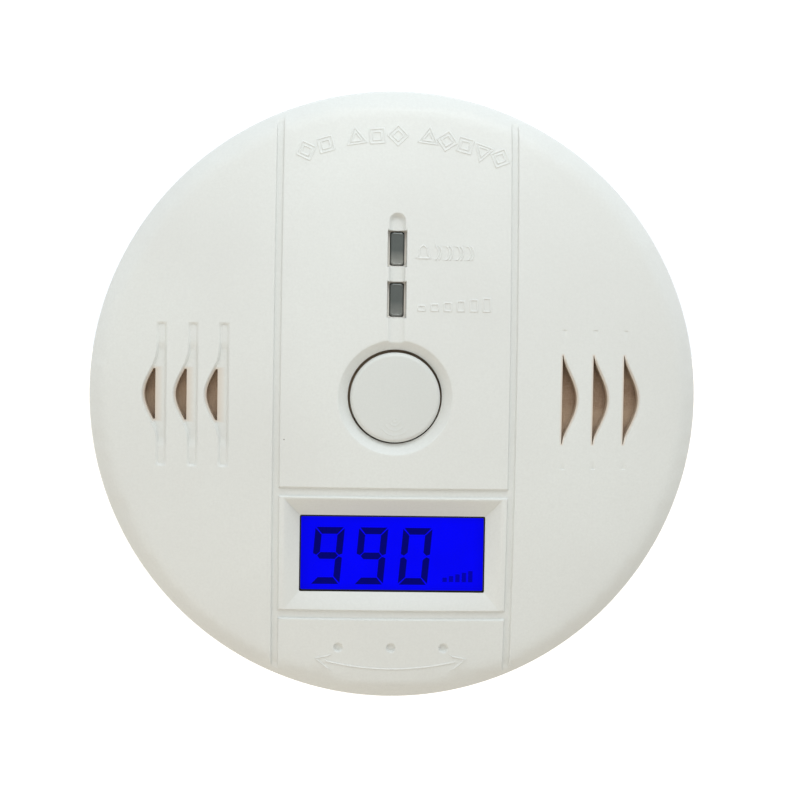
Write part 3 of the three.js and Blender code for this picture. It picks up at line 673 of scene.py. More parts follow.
def bulge(y, vents):
    """How far a vent's bell-shaped outer edge is from its straight one, at heights `y`."""
    share = np.cos(np.pi * np.clip(y / (2 * SWELL_HALF), -0.5, 0.5)) ** vents["power"]
    return vents["start"] + SWELL_BULGE * share


def between(outer_xs, outer_ys, inner_x, inner_ys, x, side):
    """A counter-clockwise loop between a curved outer edge and a straight inner one, on one side of x."""
    inner = np.stack([np.full(len(inner_ys), inner_x), inner_ys], 1)
    points = np.concatenate([np.stack([outer_xs, outer_ys], 1), inner])
    return (points if side > 0 else (points * [-1, 1])[::-1]) + [x, 0]


def vent_outline(x, vents):
    """The sunk part of a vent: on the left a straight slot with a bell-shaped bulge on its outer side, and on
    the right only the softened edge of the bulge."""
    if vents["side"] > 0:
        ys = np.linspace(-6, 6, 34)
        return between(bulge(ys, vents), ys, VENT_LIP, np.linspace(5.6, -5.6, 9), x, 1)
    tail = [7, 8, 9, VENT_HALF]
    ys = np.concatenate([np.negative(tail[::-1]), np.linspace(-6.6, 6.6, 34), tail])
    outer = np.maximum(bulge(ys, vents), VENT_WIDTH)
    return between(outer, ys, 0, np.linspace(VENT_HALF, -VENT_HALF, 9), x, -1)


def vent_hole(x, vents):
    start, half = (0.0, SWELL_HALF - 0.02) if vents["side"] > 0 else LEFT_HOLE
    ys = np.linspace(-half, half, 41)
    return between(bulge(ys, vents), ys, start, np.linspace(half, -half, 15), x, vents["side"])


VENTS = [(vent_outline(x, v), vent_hole(x, v), v) for v in (LEFT_VENTS, RIGHT_VENTS) for x in v["xs"]]


def upper_marks():
    """Three groups of plain shapes with a double outline, along the top of the face."""
    kinds = [(4, 0), (4, 45), (3, 90), (4, 45), (4, 0), (3, 90), (4, 0), (4, 45), (3, -90), (4, 0)]
    spots = [20.6, 16.1, 9.3, 4.7, 0.1, -6.6, -10.7, -14.8, -18.9, -23.0]
    made = []
    for (sides, turn), spot in zip(kinds, spots):
        for share in (1.0, 0.56):
            size = share * (1.65 if sides == 4 else 1.8)
            shape = arc(polar(MARK_ARC, 90 + spot), size, turn + spot, turn + spot + 360, sides + 1)[:-1]
            made.append((densify(shape, 0.5), True))
    return made


def lower_marks():
    """A curved arrow with a head at each end, along the bottom of the face."""
    made = [(arc((0, 0), TURN_ARC, 256.5, 283.5, 40), False)]
    for end, way in ((254, 1), (286, -1)):
        back = [polar(TURN_ARC + side, end + way * 2.6) for side in (1, -1)]
        made.append((densify(np.array([back[0], polar(TURN_ARC, end), back[1]]), 0.5, False), False))
    return made


def lamp_marks():
    """Beside the upper lamp a bell that rings, and beside the lower one a row of rising bars."""
    y = LAMP_YS[0] - 0.6
    bell = [(-1.1, -0.9), (1.1, -0.9), (0.7, -0.3), (0.6, 0.7), (0, 1.2), (-0.6, 0.7), (-0.7, -0.3)]
    made = [(densify(np.array(bell) + [4.2, y], 0.4), True)]
    waves = [5.0 + 1.75 * i + step for i in range(4) for step in (0, 0.5)]
    made += [(arc((x, y), 1.6, -42, 42, 11), False) for x in waves]
    for i in range(6):
        bar = rectangle((-0.55, 0.55), (-1.0, -0.2 + 0.26 * i))
        made.append((densify(bar + [4.0 + 2.1 * i, LAMP_YS[1] - 0.7], 0.4), True))
    return made


FACE_MARKS = [*upper_marks(), *lower_marks(), *lamp_marks()]


def mark_height(xy, marks, height=MARK_HEIGHT):
    """Height of raised lines, each with sloping sides."""
    raised = np.zeros(len(xy))
    for line, closed in marks:
        close = near(xy, line, 0.3)
        distance = line_distance(xy[close], line, closed)
        raised[close] = np.maximum(raised[close], height * falling(distance, MARK_STEPS[0], MARK_STEPS[-1]))
    return raised


def mark_lines(marks):
    lines = []
    for line, closed in marks:
        lines += [(offset(line, step, closed), closed) for step in both_sides(MARK_STEPS)]
    return lines


def channel_depth(x, y):
    """Depth of the round-bottomed channel of the lamps, and of their square pockets in it."""
    along = np.hypot(x, np.maximum(y - CHANNEL_TOP, 0))
    t = np.clip((along - CHANNEL_FLOOR) / (CHANNEL_HALF - CHANNEL_FLOOR), 0, 3)
    shallow, deep = CHANNEL_DEPTHS
    bed = shallow + (deep - shallow) * smooth_step((y - LAMP_YS[1]) / 3)
    depth = np.where(y > 0, positive(bed * (1 - t * t), 0.1), 0)
    for lamp in LAMP_YS:
        out = np.maximum(np.abs(x) - LAMP_POCKET[0] / 2, np.abs(y - lamp) - LAMP_POCKET[1] / 2)
        depth = np.maximum(depth, POCKET_DEPTH * falling(out, -POCKET_EDGE, 0))
    return depth


def face_height(xy):
    """Height of the face, with everything that is sunk into it or stands on it."""
    x, y = xy.T
    r = np.hypot(x, y)
    depth = GROOVE_DEPTH * falling(np.abs(np.abs(x) - GROOVE_X), *UPRIGHT) * falling(r, *GROOVE_FADE)
    for level in GROOVE_YS:
        groove = GROOVE_DEPTH * falling(np.abs(y - level), *LEVEL)
        depth = np.maximum(depth, np.where(np.abs(x) < GROOVE_X, groove, 0))

    t = np.clip((r - DISH_HOLE) / (DISH_OUTER - DISH_HOLE), 0, 3)
    dish = DISH_DEPTH * positive(0.8 * (1 - t) + 0.2 * (1 - t * t), 0.07)
    depth = np.maximum.reduce([depth, channel_depth(x, y), dish])
    for dx in DIMPLE_XS:
        t = np.hypot(x - dx, y - DIMPLE_Y) / DIMPLE_R
        depth = np.maximum(depth, DIMPLE_DEPTH * falling(t, DIMPLE_FLOOR, 1))
    for outline, _, vents in VENTS:
        close = near(xy, outline, VENT_LIP)
        tail = smooth_step((np.abs(y[close]) - SWELL_HALF) / TAIL_FADE)
        floor = vents["depth"] + (vents["tail"] - vents["depth"]) * tail
        sunk = falling(signed_distance(xy[close], outline), 0, VENT_LIP)
        depth[close] = np.maximum(depth[close], floor * sunk)
    beyond = np.abs(y) - VENT_HALF
    ramp = np.clip(beyond / END_DENT[2] + 1, 0, 1) * falling(beyond, 0, END_DENT_FADE)
    for middle in RIGHT_VENTS["xs"]:
        depth += END_DENT[0] * ramp * np.exp(-(((x - middle - END_DENT_SHIFT) / END_DENT[1]) ** 2))

    z = face_z(r, np.minimum(depth, DEEPEST))
    run = [(outer - inner) / 2 for outer, inner in zip(FUNNEL, WINDOW)]
    share = np.minimum((FUNNEL[0] / 2 - np.abs(x)) / run[0], (FUNNEL[1] / 2 - np.abs(y - DISPLAY_Y)) / run[1])
    z -= positive(np.clip(share, -1, 1), 0.05) * (z - SILL - SILL_LIP)
    return z + mark_height(xy, FACE_MARKS)


def shading(xy):
    """How much painted shade the face gets, browner and darker: on the ledges beside the lamps and round the
    vents' holes.
    """
    x, y = xy.T
    shade = np.zeros(len(xy))
    for lamp in LAMP_YS:
        out = np.maximum(np.abs(x) - LAMP_POCKET[0] / 2, np.abs(y - lamp) - LAMP_POCKET[1] / 2)
        shade[out < -0.1] = LEDGE_SHADE
    for _, hole, _ in VENTS:
        close = near(xy, hole, VENT_LIP)
        gap = line_distance(xy[close], hole, True)
        shade[close] = np.maximum(shade[close], LIP_SHADE * falling(gap, 0, VENT_LIP))
    return shade


def groove_steps(floor, mouth):
    return both_sides([*np.linspace(floor, mouth, 5), mouth + 0.12])


def face_lines():
    """Lines that the face's triangles follow, so that what is sunk into it has crisp edges."""
    ys = np.concatenate([-np.linspace(48.6, 43, 19), np.arange(-42, 42.1, 1.5), np.linspace(43, 48.6, 19)])
    xs = [side * GROOVE_X + step for side in (-1, 1) for step in groove_steps(*UPRIGHT)]
    lines = [(straight(x, ys), False) for x in xs]
    xs = np.linspace(-GROOVE_X, GROOVE_X, 27)
    lines += [(straight(xs, y + step), False) for y in GROOVE_YS for step in groove_steps(*LEVEL)]

    up = np.linspace(6.5, CHANNEL_TOP, 24)[:-1]
    for half in (0.4, 0.75, 0.95, 1.1, 1.22, 1.32, 1.4, 1.48, 1.6):
        top = arc((0, CHANNEL_TOP), half, 0, 180, 15)
        lines.append((np.concatenate([straight(half, up), top, straight(-half, up)[::-1]]), False))
    lines += [(ring(r, 112), True) for r in (7.75, 8.0, 8.3, 8.6, 8.85, 9.02, 9.12, 9.2, 9.28, 9.4, 9.6, 9.9)]
    for lamp in LAMP_YS:
        for inset in (-0.04, 0.0, 0.04, 0.08, 0.12, 0.16, 0.2):
            width, height = (side - 2 * inset for side in LAMP_POCKET)
            lines.append((rounded_rectangle(width, height, 0.2, (0, lamp), 3, 0.45), True))
    for x in RIGHT_VENTS["xs"]:
        across = x + END_DENT_SHIFT + np.linspace(-0.6, 0.6, 7)
        steps = (-1.2, -0.6, -0.2, 0.0, 0.05, 0.1, END_DENT_FADE)
        lines += [(straight(across, side * (VENT_HALF + step)), False) for side in (-1, 1) for step in steps]
    for dx in DIMPLE_XS:
        shares = (0.3, DIMPLE_FLOOR, 0.66, 0.78, 0.9, 1.0, 1.15)
        lines += [(ring(DIMPLE_R * share, 20, (dx, DIMPLE_Y)), True) for share in shares]

    corners = [np.array(QUARTERS) * size / 2 + [0, DISPLAY_Y] for size in (FUNNEL, WINDOW)]
    for share in (-0.12, -0.06, 0.0, 0.06, 0.12, 0.3, 0.6, 0.9):
        lines.append((densify(corners[0] + (corners[1] - corners[0]) * share, 1.0), True))
    for ends in zip(*corners):
        crease = densify(np.array(ends), 0.4, False)
        lines += [(crease if not step else offset(crease, step, False), False) for step in (0, -0.07, 0.07)]

    for outline, hole, vents in VENTS:
        if vents["side"] > 0:
            lines += [(offset(hole, step), True) for step in (0.06, 0.14, 0.24, VENT_LIP)]
            continue
        fine = densify(outline, 0.6)
        steps = (0, 0.04, 0.08, 0.12, VENT_LIP, VENT_LIP + 0.1, -0.12)
        lines += [(offset(fine, step), True) for step in steps]
    return lines + mark_lines(FACE_MARKS)


WINDOW_LOOP = rounded_rectangle(*WINDOW, 0.25, (0, DISPLAY_Y), 4, 0.8)
LAMP_LOOPS = [rounded_rectangle(*LAMP_HOLE, 0.3, (0, y), 5, 0.45) for y in LAMP_YS]
BUTTON_LOOP = ring(DISH_HOLE, 128, DISH_SHIFT)


def under_steps():
    """The mouldings under the face: a loop round each and the level that its inside lies on."""
    steps = [(ring(COLLAR_R, 64), COLLAR_LOW)]
    for size, level in ((DISPLAY_FRAME, SILL - FRAME_DEPTH), (DISPLAY_RECESS, SILL)):
        steps.append((densify(rounded_rectangle(*size, 0.6, (0, DISPLAY_Y), 4, 2), 2), level))
    for angle in (45, 135, 225, 315):
        centre = polar(CASE_POST_AT, angle)
        steps.append((ring(CASE_POST_R, 24, centre), REAR_EDGE))
        steps.append((ring(SCREW_HOLE, 16, centre), CASE_HOLE_END))
    for centre in np.array(QUARTERS) * BOARD_POST_AT:
        steps.append((ring(BOARD_POST_R, 24, centre), BOARD_POST_LOW))
        steps.append((ring(SCREW_HOLE, 16, centre), BOARD_HOLE_END))
    for vents in (LEFT_VENTS, RIGHT_VENTS):
        middle = (vents["xs"][1] + VENT_PAD_SHIFT * vents["side"], 0)
        steps.append((rounded_rectangle(*VENT_PAD, 1.5, middle, 5, 3), None))
    return steps


def under_height(xy, steps):
    """Height of the shell's inner side. A step without a level is a pad a little below it."""
    z = face_z(np.hypot(*xy.T), SHELL)
    for loop, level in steps:
        close = near(xy, loop, 0.2)
        within = signed_distance(xy[close], loop) < 0.02
        z[close] = np.where(within, z[close] - VENT_PAD_DEPTH if level is None else level, z[close])
    return z


def edge_rows(group, radius, angles):
    """Rows round the cover's edge, at these angles above the horizontal."""
    return [(group, EDGE_R + radius * math.cos(a), EDGE_Z + radius * math.sin(a)) for a in angles]


def front_cover():
    solid = Solid()
    openings = [BUTTON_LOOP, *LAMP_LOOPS, WINDOW_LOOP, *(hole for _, hole, _ in VENTS)]
    flat, triangles, loops = triangulate(ring(FACE_LIMIT, RIM_POINTS), openings, face_lines(), FACE_SPACING)
    top = solid.sheet("face", flat, triangles, face_height(flat))

    steps = under_steps()
    lines = [(offset(loop, out) if out else loop, True) for loop, _ in steps for out in (0, 0.06)]
    made = triangulate(ring(UNDER_LIMIT, RIM_POINTS), openings, lines, UNDER_SPACING)
    under_flat, under_triangles, under_loops = made
    under = solid.sheet("under", under_flat, under_triangles, under_height(under_flat, steps), True)
    for upper, lower in zip(loops[1:], under_loops[1:]):
        solid.bridge("openings", top[upper], under[lower], inwards=True)
    # painted shade: all of the inner side, and on the face the ledges and vent lips that shading() gives
    solid.painted_shade(under)
    solid.painted_shade(top, shading(flat))

    start = math.acos((FACE_LIMIT - EDGE_R) / EDGE_RADIUS)
    inner = EDGE_RADIUS - SHELL
    end = math.acos((UNDER_LIMIT - EDGE_R) / inner)
    rows = edge_rows("face", EDGE_RADIUS, np.linspace(start, 0, 8)[1:])
    rows += [("face", RADIUS, z) for z in np.linspace(EDGE_Z, REAR_EDGE + REAR_LIP, 5)[1:]]
    for angle in np.radians((30, 60, 90)):
        inset, drop = REAR_LIP * (1 - np.cos(angle)), REAR_LIP * (1 - np.sin(angle))
        rows.append(("face", RADIUS - inset, REAR_EDGE + drop))
    rows.append(("lip", RADIUS - SHELL, REAR_EDGE))
    rows += [("wall", RADIUS - SHELL, z) for z in (20.0, 26.0, EDGE_Z)]
    rows += edge_rows("wall", inner, np.linspace(0, end, 5)[1:-1])
    upper = solid.descend(top[loops[0]], rows, partial(ring, count=RIM_POINTS))
    solid.bridge("wall", upper, under[under_loops[0]])
    solid.build("detector_face", "detector", WHITE, "front_cover")


# ---- the button, the lamps and the display ----


def test_button():
    """A round cap with a softened edge, and faint arcs for its symbol, on a flanged skirt with a stem."""
    radius, corner, top, count = BUTTON_HIGH[0] - 1.4, 0.75, BUTTON_HIGH[2], 128
    marks = [(arc((0, -3.6), r, 218, 322, 24), False) for r in (0.9, 1.7, 2.5)]
    marks.append((ring(0.3, 12, (0, -3.6)), True))
    flat, triangles, loops = triangulate(ring(radius - corner, count), [], mark_lines(marks), 0.9)
    crown = top - 0.16 * (np.hypot(*flat.T) / radius) ** 2 - 0.06
    solid = Solid()
    heights = crown + mark_height(flat, marks, BUTTON_MARK_HEIGHT)
    upper = solid.sheet("cap", flat, triangles, heights)[loops[0]]
    edge = crown[loops[0]].mean()
    rows = []
    for angle in np.radians(np.linspace(0, 90, 9)[1:]):
        rows.append(("cap", radius - corner * (1 - math.sin(angle)), edge - corner * (1 - math.cos(angle))))
    shape = partial(ring, count=count)
    upper = solid.descend(upper, rows, shape)

    flange_top, skirt, ceiling, stem = 33.9, radius - 1.2, top - 1.8, 2.0
    rows = [
        ("cap", radius, 35.5),
        ("cap", radius, flange_top),
        ("flange", BUTTON_HIGH[0], flange_top),
        ("flange edge", BUTTON_HIGH[0], flange_top - 0.9),
        ("under", skirt, flange_top - 0.9),
        ("skirt", skirt, ceiling),
        ("ceiling", stem, ceiling),
        ("stem", stem, BUTTON_LOW[2]),
    ]
    # painted shade in full on the cap's side, the flange, the skirt and the stem, for the dark gap round the
    # button
    upper = solid.descend(upper, rows, shape, shade_share=1.0)
    solid.weld(upper, solid.cap("foot", ring(stem, count), BUTTON_LOW[2], True))
    solid.build("button_cap", "button", BUTTON_WHITE, "test_button")


def lamp_lens(name, node):
    """A light pipe with rounded corners and a chamfered window, on its flange."""
    low, high = flat_box(node)
    y = (low[1] + high[1]) / 2
    width, height = LENS
    window = (width - 0.7, height - 0.7)
    flange_top = face_z(y + 2.8) - SHELL - 0.6

    def loop(size):
        wider, higher, corner = size
        return rounded_rectangle(width + wider, height + higher, corner, (0, y), 6, 0.45, window)

    solid = Solid()
    flat, triangles, loops = triangulate(loop((-0.7, -0.7, 0.25)), [], [], 0.5)
    upper = solid.sheet("window", flat, triangles, np.full(len(flat), high[2] - 0.06))[loops[0]]
    rows = [
        ("rim", (-0.62, -0.62, 0.28), high[2] - 0.02),
        ("rim", (-0.4, -0.4, 0.38), high[2]),
        ("rim", (-0.15, -0.15, 0.45), high[2] - 0.04),
        ("rim", (0, 0, 0.5), high[2] - 0.16),
        ("stem", (0, 0, 0.5), flange_top),
        ("flange", (2, 1.4, 0.5), flange_top),
        ("flange edge", (2, 1.4, 0.5), flange_top - 0.9),
        ("under", (0, 0, 0.5), flange_top - 0.9),
        ("lower stem", (0, 0, 0.5), low[2]),
    ]
    upper = solid.descend(upper, rows, loop)
    solid.weld(upper, solid.cap("foot", loop((0, 0, 0.5)), low[2], True))
    solid.build(name, "detector", FINISHES["smoke_lens"], node)


DIGIT_LEFTS, DIGIT_WIDTH, DIGIT_LOW, DIGIT_HIGH = (-13.3, -6.2, 1.0), 4.75, -30.65, -21.35
LEAN, STROKE, GAP = 0.085, 1.08, 0.13
SEGMENTS_ON = ("abcdfg", "abcdfg", "abcdef")  # nine, nine, zero
BAR_WIDTH, BAR_PITCH, BARS_AT = 0.7, 1.05, (8.3, -30.15)
MASK_OUTER, MASK_INNER = (35.6, 17.0, 0.4), (29.72, 11.92, 0.2)
INK_LOW, DIGIT_TOP, BARS_TOP, MASK_TOP = 0.005, 0.04, 0.03, 0.12  # above the glass


def segment_loops(left):
    """The seven bars of a digit, mitred where they meet, as loops by letter."""
    right, middle, half = left + DIGIT_WIDTH, (DIGIT_LOW + DIGIT_HIGH) / 2, STROKE / 2

    def outer(y, way):
        """The top or bottom bar, whose inner edge lies `way` from its outer one."""
        end, corner, inner = GAP * 1.4, STROKE + GAP * 0.4, y + way * STROKE
        return [(left + end, y), (right - end, y), (right - corner, inner), (left + corner, inner)]

    def upright(x, inward, far, way):
        return [
            (x, far - way * GAP * 1.4),
            (x, middle + way * (half * 0.4 + GAP)),
            (x + inward * half, middle + way * GAP),
            (x + inward * STROKE, middle + way * (half + GAP * 0.6)),
            (x + inward * STROKE, far - way * (STROKE + GAP * 1.4)),
        ]

    tip, shoulder = half + GAP, STROKE + GAP * 0.6
    across = [(left + tip, 0), (left + shoulder, half), (right - shoulder, half)]
    across += [(right - tip, 0), (right - shoulder, -half), (left + shoulder, -half)]
    loops = {
        "a": outer(DIGIT_HIGH, -1),
        "d": outer(DIGIT_LOW, 1),
        "g": [(x, middle + y) for x, y in across],
        "b": upright(right, -1, DIGIT_HIGH, 1),
        "f": upright(left, 1, DIGIT_HIGH, 1),
        "c": upright(right, -1, DIGIT_LOW, -1),
        "e": upright(left, 1, DIGIT_LOW, -1),
    }
    made = {}
    for letter, points in loops.items():
        points = np.array(points)
        points[:, 0] += (points[:, 1] - DIGIT_LOW) * LEAN
        x, y = points.T
        clockwise = (x * np.roll(y, -1) - y * np.roll(x, -1)).sum() < 0
        made[letter] = points[::-1] if clockwise else points
    return made


def display():
    z = GLASS_HIGH[2]
    solid = Solid()
    for left, letters in zip(DIGIT_LEFTS, SEGMENTS_ON):
        loops = segment_loops(left)
        for letter in letters:
            solid.prism(loops[letter], z + INK_LOW, z + DIGIT_TOP)
    solid.build("display_digits", "detector", SEGMENT)

    solid = Solid()
    for i in range(5):
        bar = rectangle((0, BAR_WIDTH), (0, 0.7 + 0.28 * i))
        solid.prism(bar + BARS_AT + [BAR_PITCH * i, 0], z + INK_LOW, z + BARS_TOP)
    solid.build("display_bars", "detector", FAINT)

    # the black film over the glass's border; its thin dark line inside the window is partly painted shade for
    # the gap
    solid = Solid()
    outer, inner = (rounded_rectangle(*size, (0, DISPLAY_Y), 4, 2) for size in (MASK_OUTER, MASK_INNER))
    flat, triangles, loops = triangulate(outer, [inner], [], 3)
    top = solid.sheet("top", flat, triangles, np.full(len(flat), z + MASK_TOP))
    bottom = solid.sheet("bottom", flat, triangles, np.full(len(flat), z + INK_LOW), True)
    solid.bridge("outer", top[loops[0]], bottom[loops[0]])
    solid.bridge("inner", top[loops[1]], bottom[loops[1]], inwards=True)
    solid.build("display_gap_shade_mask", "detector", GAP_SHADE_FILM)


# ---- the wall bracket ----

EJECTOR_SPOTS = [polar(EJECTOR_AT, angle) for angle in (45, 135, 225, 315)]
ARROW_HEAD, ARROW_SHAFT = [(-2.2, 9.5), (0, 13.5), (2.2, 9.5)], [(0, 4.5), (0, 13.0)]


def keyhole(y):
    """A round head with a slot that runs up from it."""
    half = KEYHOLE_SLOT[0] / 2
    meet = math.degrees(math.acos(half / KEYHOLE_HEAD))
    head = arc((0, y), KEYHOLE_HEAD, 180 - meet, 360 + meet, 40)[:-1]
    end = arc((0, y + KEYHOLE_SLOT[1]), half, 0, 180, 17)
    start = np.array([[half, y + math.sqrt(KEYHOLE_HEAD**2 - half**2)]])
    return densify(np.concatenate([start, end, head]), 0.7)


def curved_slot(middle, inner, outer, half_angle, corner):
    """A rounded rectangle that is bent round the axis."""
    radius = (inner + outer) / 2
    length = 2 * radius * math.radians(half_angle)
    reach, along = rounded_rectangle(outer - inner, length, corner, (radius, 0), 5, 0.7).T
    angle = along / radius + math.radians(middle)
    return np.stack([reach * np.cos(angle), reach * np.sin(angle)], 1)


def bracket_openings():
    openings = [keyhole(side * KEYHOLE_Y) for side in (1, -1)]
    openings += [curved_slot(middle, *SIDE_SLOT, 0.7) for middle in (0, 180)]
    openings += [curved_slot(middle, *HOOK_WINDOW, 0.4) for middle in HOOK_ANGLES]
    return openings


def wall_side(xy, openings, marks):
    """The side against the wall: flat, with softened openings, two rings, ejector dents and an arrow."""
    r = np.hypot(*xy.T)
    z = np.zeros(len(xy))
    for opening in openings:
        close = near(xy, opening, BRACKET_LIP)
        gap = line_distance(xy[close], opening, True)
        z[close] = np.maximum(z[close], BRACKET_LIP * falling(gap, 0, BRACKET_LIP))
    for radius in WALL_RINGS:
        z = np.maximum(z, WALL_RING_DEPTH * falling(np.abs(r - radius), 0.3, 0.55))
    for spot in EJECTOR_SPOTS:
        z = np.maximum(z, EJECTOR_DEPTH * falling(np.hypot(*(xy - spot).T), EJECTOR_R, EJECTOR_R + 0.14))
    return np.maximum(z, 2 * mark_height(xy, marks))


def hook(solid, middle):
    """A bayonet hook: an upright post with a lip that points inwards."""
    post, tip, (lip_low, lip_high) = HOOK_OUTER - HOOK_POST, HOOK_OUTER - HOOK_LIP, HOOK_LEVELS
    base = BRACKET_PLATE - 0.2
    corners = [(post, base), (HOOK_OUTER, base), (HOOK_OUTER, lip_high)]
    corners = np.array([*corners, (tip, lip_high), (tip, lip_low), (post, lip_low)])
    towards = [np.roll(corners, step, 0) - corners for step in (1, -1)]
    cut = [corners + HOOK_BEVEL * way / np.linalg.norm(way, axis=1)[:, None] for way in towards]
    flat, triangles, loops = triangulate(np.stack(cut, 1).reshape(-1, 2), [], [], 1e3)
    rings = []
    for angle in np.linspace(middle - HOOK_HALF, middle + HOOK_HALF, 15):
        rings.append(solid.add(np.column_stack([flat[:, :1] * polar(1, angle), flat[:, 1]])))
    for a, b in zip(rings, rings[1:]):
        solid.bridge("hook", a[loops[0]], b[loops[0]])
    solid.faces("hook end", rings[0][triangles])
    solid.faces("hook end", rings[-1][triangles][:, ::-1])


def mount_plate():
    """A plate with a raised rim: its wall side, its room side with a stiffener ring, and the hooks."""
    solid = Solid()
    openings = bracket_openings()
    count = 192
    marks = [(densify(np.array(points), 0.5, False), False) for points in (ARROW_HEAD, ARROW_SHAFT)]
    steps = (-0.55, -0.42, -0.3, 0.3, 0.42, 0.55)
    lines = [(ring(radius + step, 96), True) for radius in WALL_RINGS for step in steps]
    lines += [(ring(EJECTOR_R + step, 20, spot), True) for spot in EJECTOR_SPOTS for step in (0, 0.07, 0.14)]
    lines += [(offset(opening, step), True) for opening in openings for step in (0.1, 0.2, 0.3, BRACKET_LIP)]
    rear_edge = BRACKET_RADIUS - BRACKET_REAR_ROUND
    lines += mark_lines(marks)
    flat, triangles, rear_loops = triangulate(ring(rear_edge, count), openings, lines, 2.2)
    rear = solid.sheet("wall side", flat, triangles, wall_side(flat, openings, marks), True)

    inner, top = BRACKET_RADIUS - BRACKET_RIM, BRACKET_TOP
    start, end, run = STIFFENER
    radii = (start - 0.05, start + 0.05, start + run, end, end + 0.15, end + 0.25)
    lines = [(ring(radius, 96), True) for radius in radii]
    flat, triangles, loops = triangulate(ring(inner - 0.2, count), openings, lines, 3.0)
    r = np.hypot(*flat.T)
    rise = falling(r, start + run, start) * falling(r, end, end + run)
    front = solid.sheet("room side", flat, triangles, BRACKET_PLATE + STIFFENER_HEIGHT * rise)
    for upper, lower in zip(loops[1:], rear_loops[1:]):
        solid.bridge("openings", front[upper], rear[lower], inwards=True)

    soft, bent = BRACKET_ROUND, BRACKET_ROUND * 0.3
    profile = [(inner - 0.06, BRACKET_PLATE + 0.06), (inner, BRACKET_PLATE + 0.2), (inner, top - soft)]
    profile += [(inner + bent, top - bent), (inner + soft, top), (BRACKET_RADIUS - soft, top)]
    profile += [(BRACKET_RADIUS - bent, top - bent), (BRACKET_RADIUS, top - soft)]
    profile.append((BRACKET_RADIUS, BRACKET_STEP))
    for angle in np.radians((0, 30, 60)):
        out, up = BRACKET_REAR_ROUND * np.cos(angle), BRACKET_REAR_ROUND * (1 - np.sin(angle))
        profile.append((rear_edge + out, up))
    rows = [("rim", radius, z) for radius, z in profile]
    upper = solid.descend(front[loops[0]], rows, partial(ring, count=count))
    solid.bridge("rim", upper, rear[rear_loops[0]])
    for middle in HOOK_ANGLES:
        hook(solid, middle)
    solid.build("mount_plate", "bracket", FINISHES["casing_white"], "wall_bracket")


# ---- carried-over CAD nodes ----

SHARP_DEG = 32
WELD_DISTANCE = 1e-6  # in metres
ROUNDED = {"rear_housing": 0.12}  # how far the edges of a moulding are rounded, in mm


def dress_cad_nodes():
    """Gives every CAD node the procedural finish of its material slot."""
    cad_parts["display_glass"].visible_diffuse = False  # its light is too weak to tint the bezel
    for node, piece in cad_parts.items():
        finish = FINISHES[piece.data.materials[0].name]
        piece.data.materials.clear()
        piece.data.materials.append(finish)
        piece.data.shade_smooth()
        piece.modifiers.new("joined corners", "WELD").merge_threshold = WELD_DISTANCE
        if node in ROUNDED:
            bevel = piece.modifiers.new("rounded edges", "BEVEL")
            bevel.width, bevel.segments = ROUNDED[node] / 1000, 3
            bevel.limit_method, bevel.angle_limit = "ANGLE", math.radians(SHARP_DEG)
            bevel.use_clamp_overlap = False
        piece.modifiers.new("sharp edges", "EDGE_SPLIT").split_angle = math.radians(SHARP_DEG)


# ---- the studio, in metres ----

CAMERA = Vector((-0.0091, -0.2976, 0.0099))
AIM = Vector((0.00073, -0.038, -0.00032))
LENS_MM, SENSOR_MM = 73.2, 36
CLIP = (0.01, 50)
ROLL_DEG = 0.9

FLOOR_LEVEL, FLOOR_REACH = -0.3, 30.0
FLOOR_COLOUR = (0.80, 0.73, 0.64, 1)
SKY = (0.46, 0.84)  # strength of the surrounding light at the horizon and overhead
SKY_COLOUR = (0.965, 1.0, 1.03, 1)
BACKDROP_CONE = (0.52, 0.78)  # how squarely a direction has to look along +Y to be lit, from none to full
BACKDROP_GAIN, BACKDROP_START = 0.6, (0.4, 0.62)  # the floor is lit from this far away
SIDE_CONE, SIDE_GAIN = (0.55, 0.95), 0.72  # the same for directions along -X and +X
LIGHTS = (  # name, place, size, power and colour
    ("key", (0.045, -0.24, 0.27), (0.26, 0.18), 0.64, (0.95, 0.99, 1.0)),
    ("bounce", (-0.18, -0.24, -0.28), (0.34, 0.25), 0.44, (1.0, 0.87, 0.72)),
)


def camera():
    data = bpy.data.cameras.new("camera")
    data.lens, data.sensor_width = LENS_MM, SENSOR_MM
    data.clip_start, data.clip_end = CLIP
    made = put("camera", data)
    made.location = CAMERA
    made.rotation_euler = (AIM - CAMERA).to_track_quat("-Z", "Y").to_matrix().to_4x4().to_euler()
    made.rotation_euler.rotate_axis("Z", math.radians(ROLL_DEG))
    bpy.context.scene.camera = made


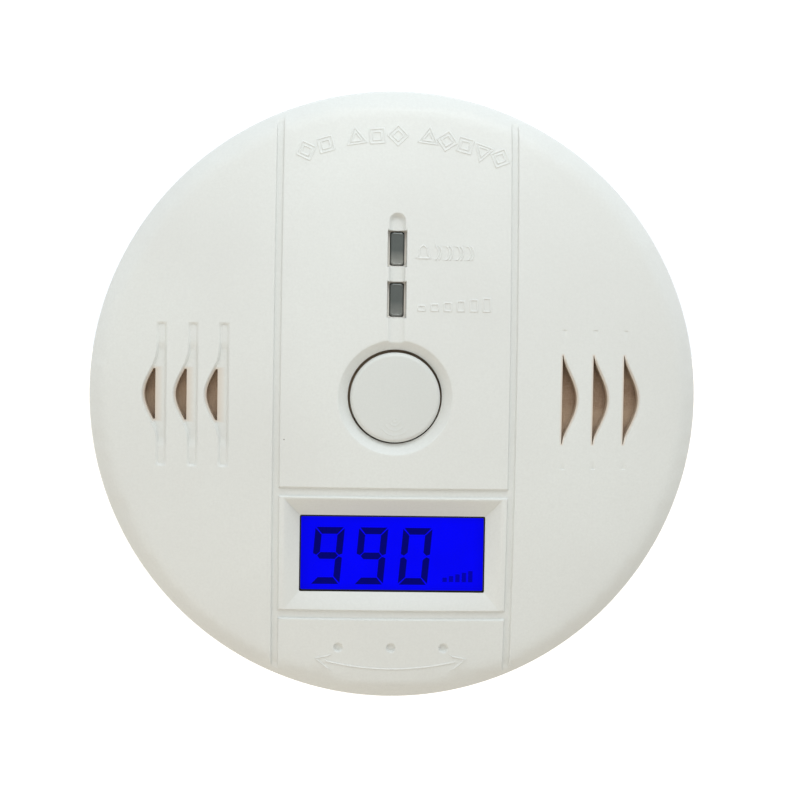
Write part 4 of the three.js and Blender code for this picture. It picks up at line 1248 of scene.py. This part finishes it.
def floor():
    """A pale floor, lit far away in the direction of the backdrop."""
    mesh = bpy.data.meshes.new("floor")
    corners = [(sx * FLOOR_REACH, sy * FLOOR_REACH, FLOOR_LEVEL) for sx, sy in QUARTERS]
    mesh.from_pydata(corners, [], [(2, 3, 0, 1)])
    s = Shader("floor_pale", Base_Color=FLOOR_COLOUR, Roughness=0.9, Specular_IOR_Level=0.1)
    s.surface.inputs["Emission Color"].default_value = (1, 1, 1, 1)
    level = s.node("VectorMath", {0: s.coordinates, 1: (1, 1, 0)}, operation="MULTIPLY").outputs["Vector"]
    far = s.node("VectorMath", {0: level}, operation="LENGTH").outputs["Value"]
    ahead = s.node("VectorMath", {0: level}, operation="NORMALIZE").outputs["Vector"]
    ahead = s.node("SeparateXYZ", {"Vector": ahead}).outputs["Y"]
    lit = s.math("MULTIPLY", s.remap(far, *BACKDROP_START), s.remap(ahead, *BACKDROP_CONE))
    s.to("Emission Strength", s.math("MULTIPLY", lit, BACKDROP_GAIN))
    mesh.materials.append(s.material)
    put("floor", mesh)


def lamps():
    for name, spot, size, power, colour in LIGHTS:
        data = bpy.data.lights.new(name, "AREA")
        data.shape, data.size, data.size_y = "RECTANGLE", *size
        data.energy, data.color = power, colour
        lamp = put(name, data)
        lamp.location = spot
        lamp.rotation_euler = (-Vector(spot)).to_track_quat("-Z", "Y").to_euler()
        lamp.visible_camera = False


def sky():
    """Soft light that grows from the horizon up, with a white backdrop and two brighter sides."""
    world = bpy.data.worlds.new("studio")
    bpy.context.scene.world = world
    world.use_nodes = True
    w = Nodes(world.node_tree, "Generated")
    way = w.split()
    backdrop = w.remap(way["Y"], *BACKDROP_CONE, 0.0, BACKDROP_GAIN)
    strength = w.math("ADD", w.remap(way["Z"], 0.0, 1.0, *SKY), backdrop)
    sideways = w.remap(w.math("ABSOLUTE", way["X"]), *SIDE_CONE, 0.0, SIDE_GAIN)
    background = w.tree.nodes["Background"].inputs
    w.feed(background["Strength"], w.math("ADD", strength, sideways))
    background["Color"].default_value = SKY_COLOUR


def studio():
    camera()
    floor()
    lamps()
    sky()
    view = bpy.context.scene.view_settings
    view.view_transform, view.look, view.exposure, view.gamma = "Standard", "None", 0.0, 1.0


# ---- the assembly ----

front_cover()
test_button()
for lens, pipe in LAMPS.items():
    lamp_lens(lens, pipe)
display()
mount_plate()
dress_cad_nodes()
studio()

bpy.context.view_layer.update()
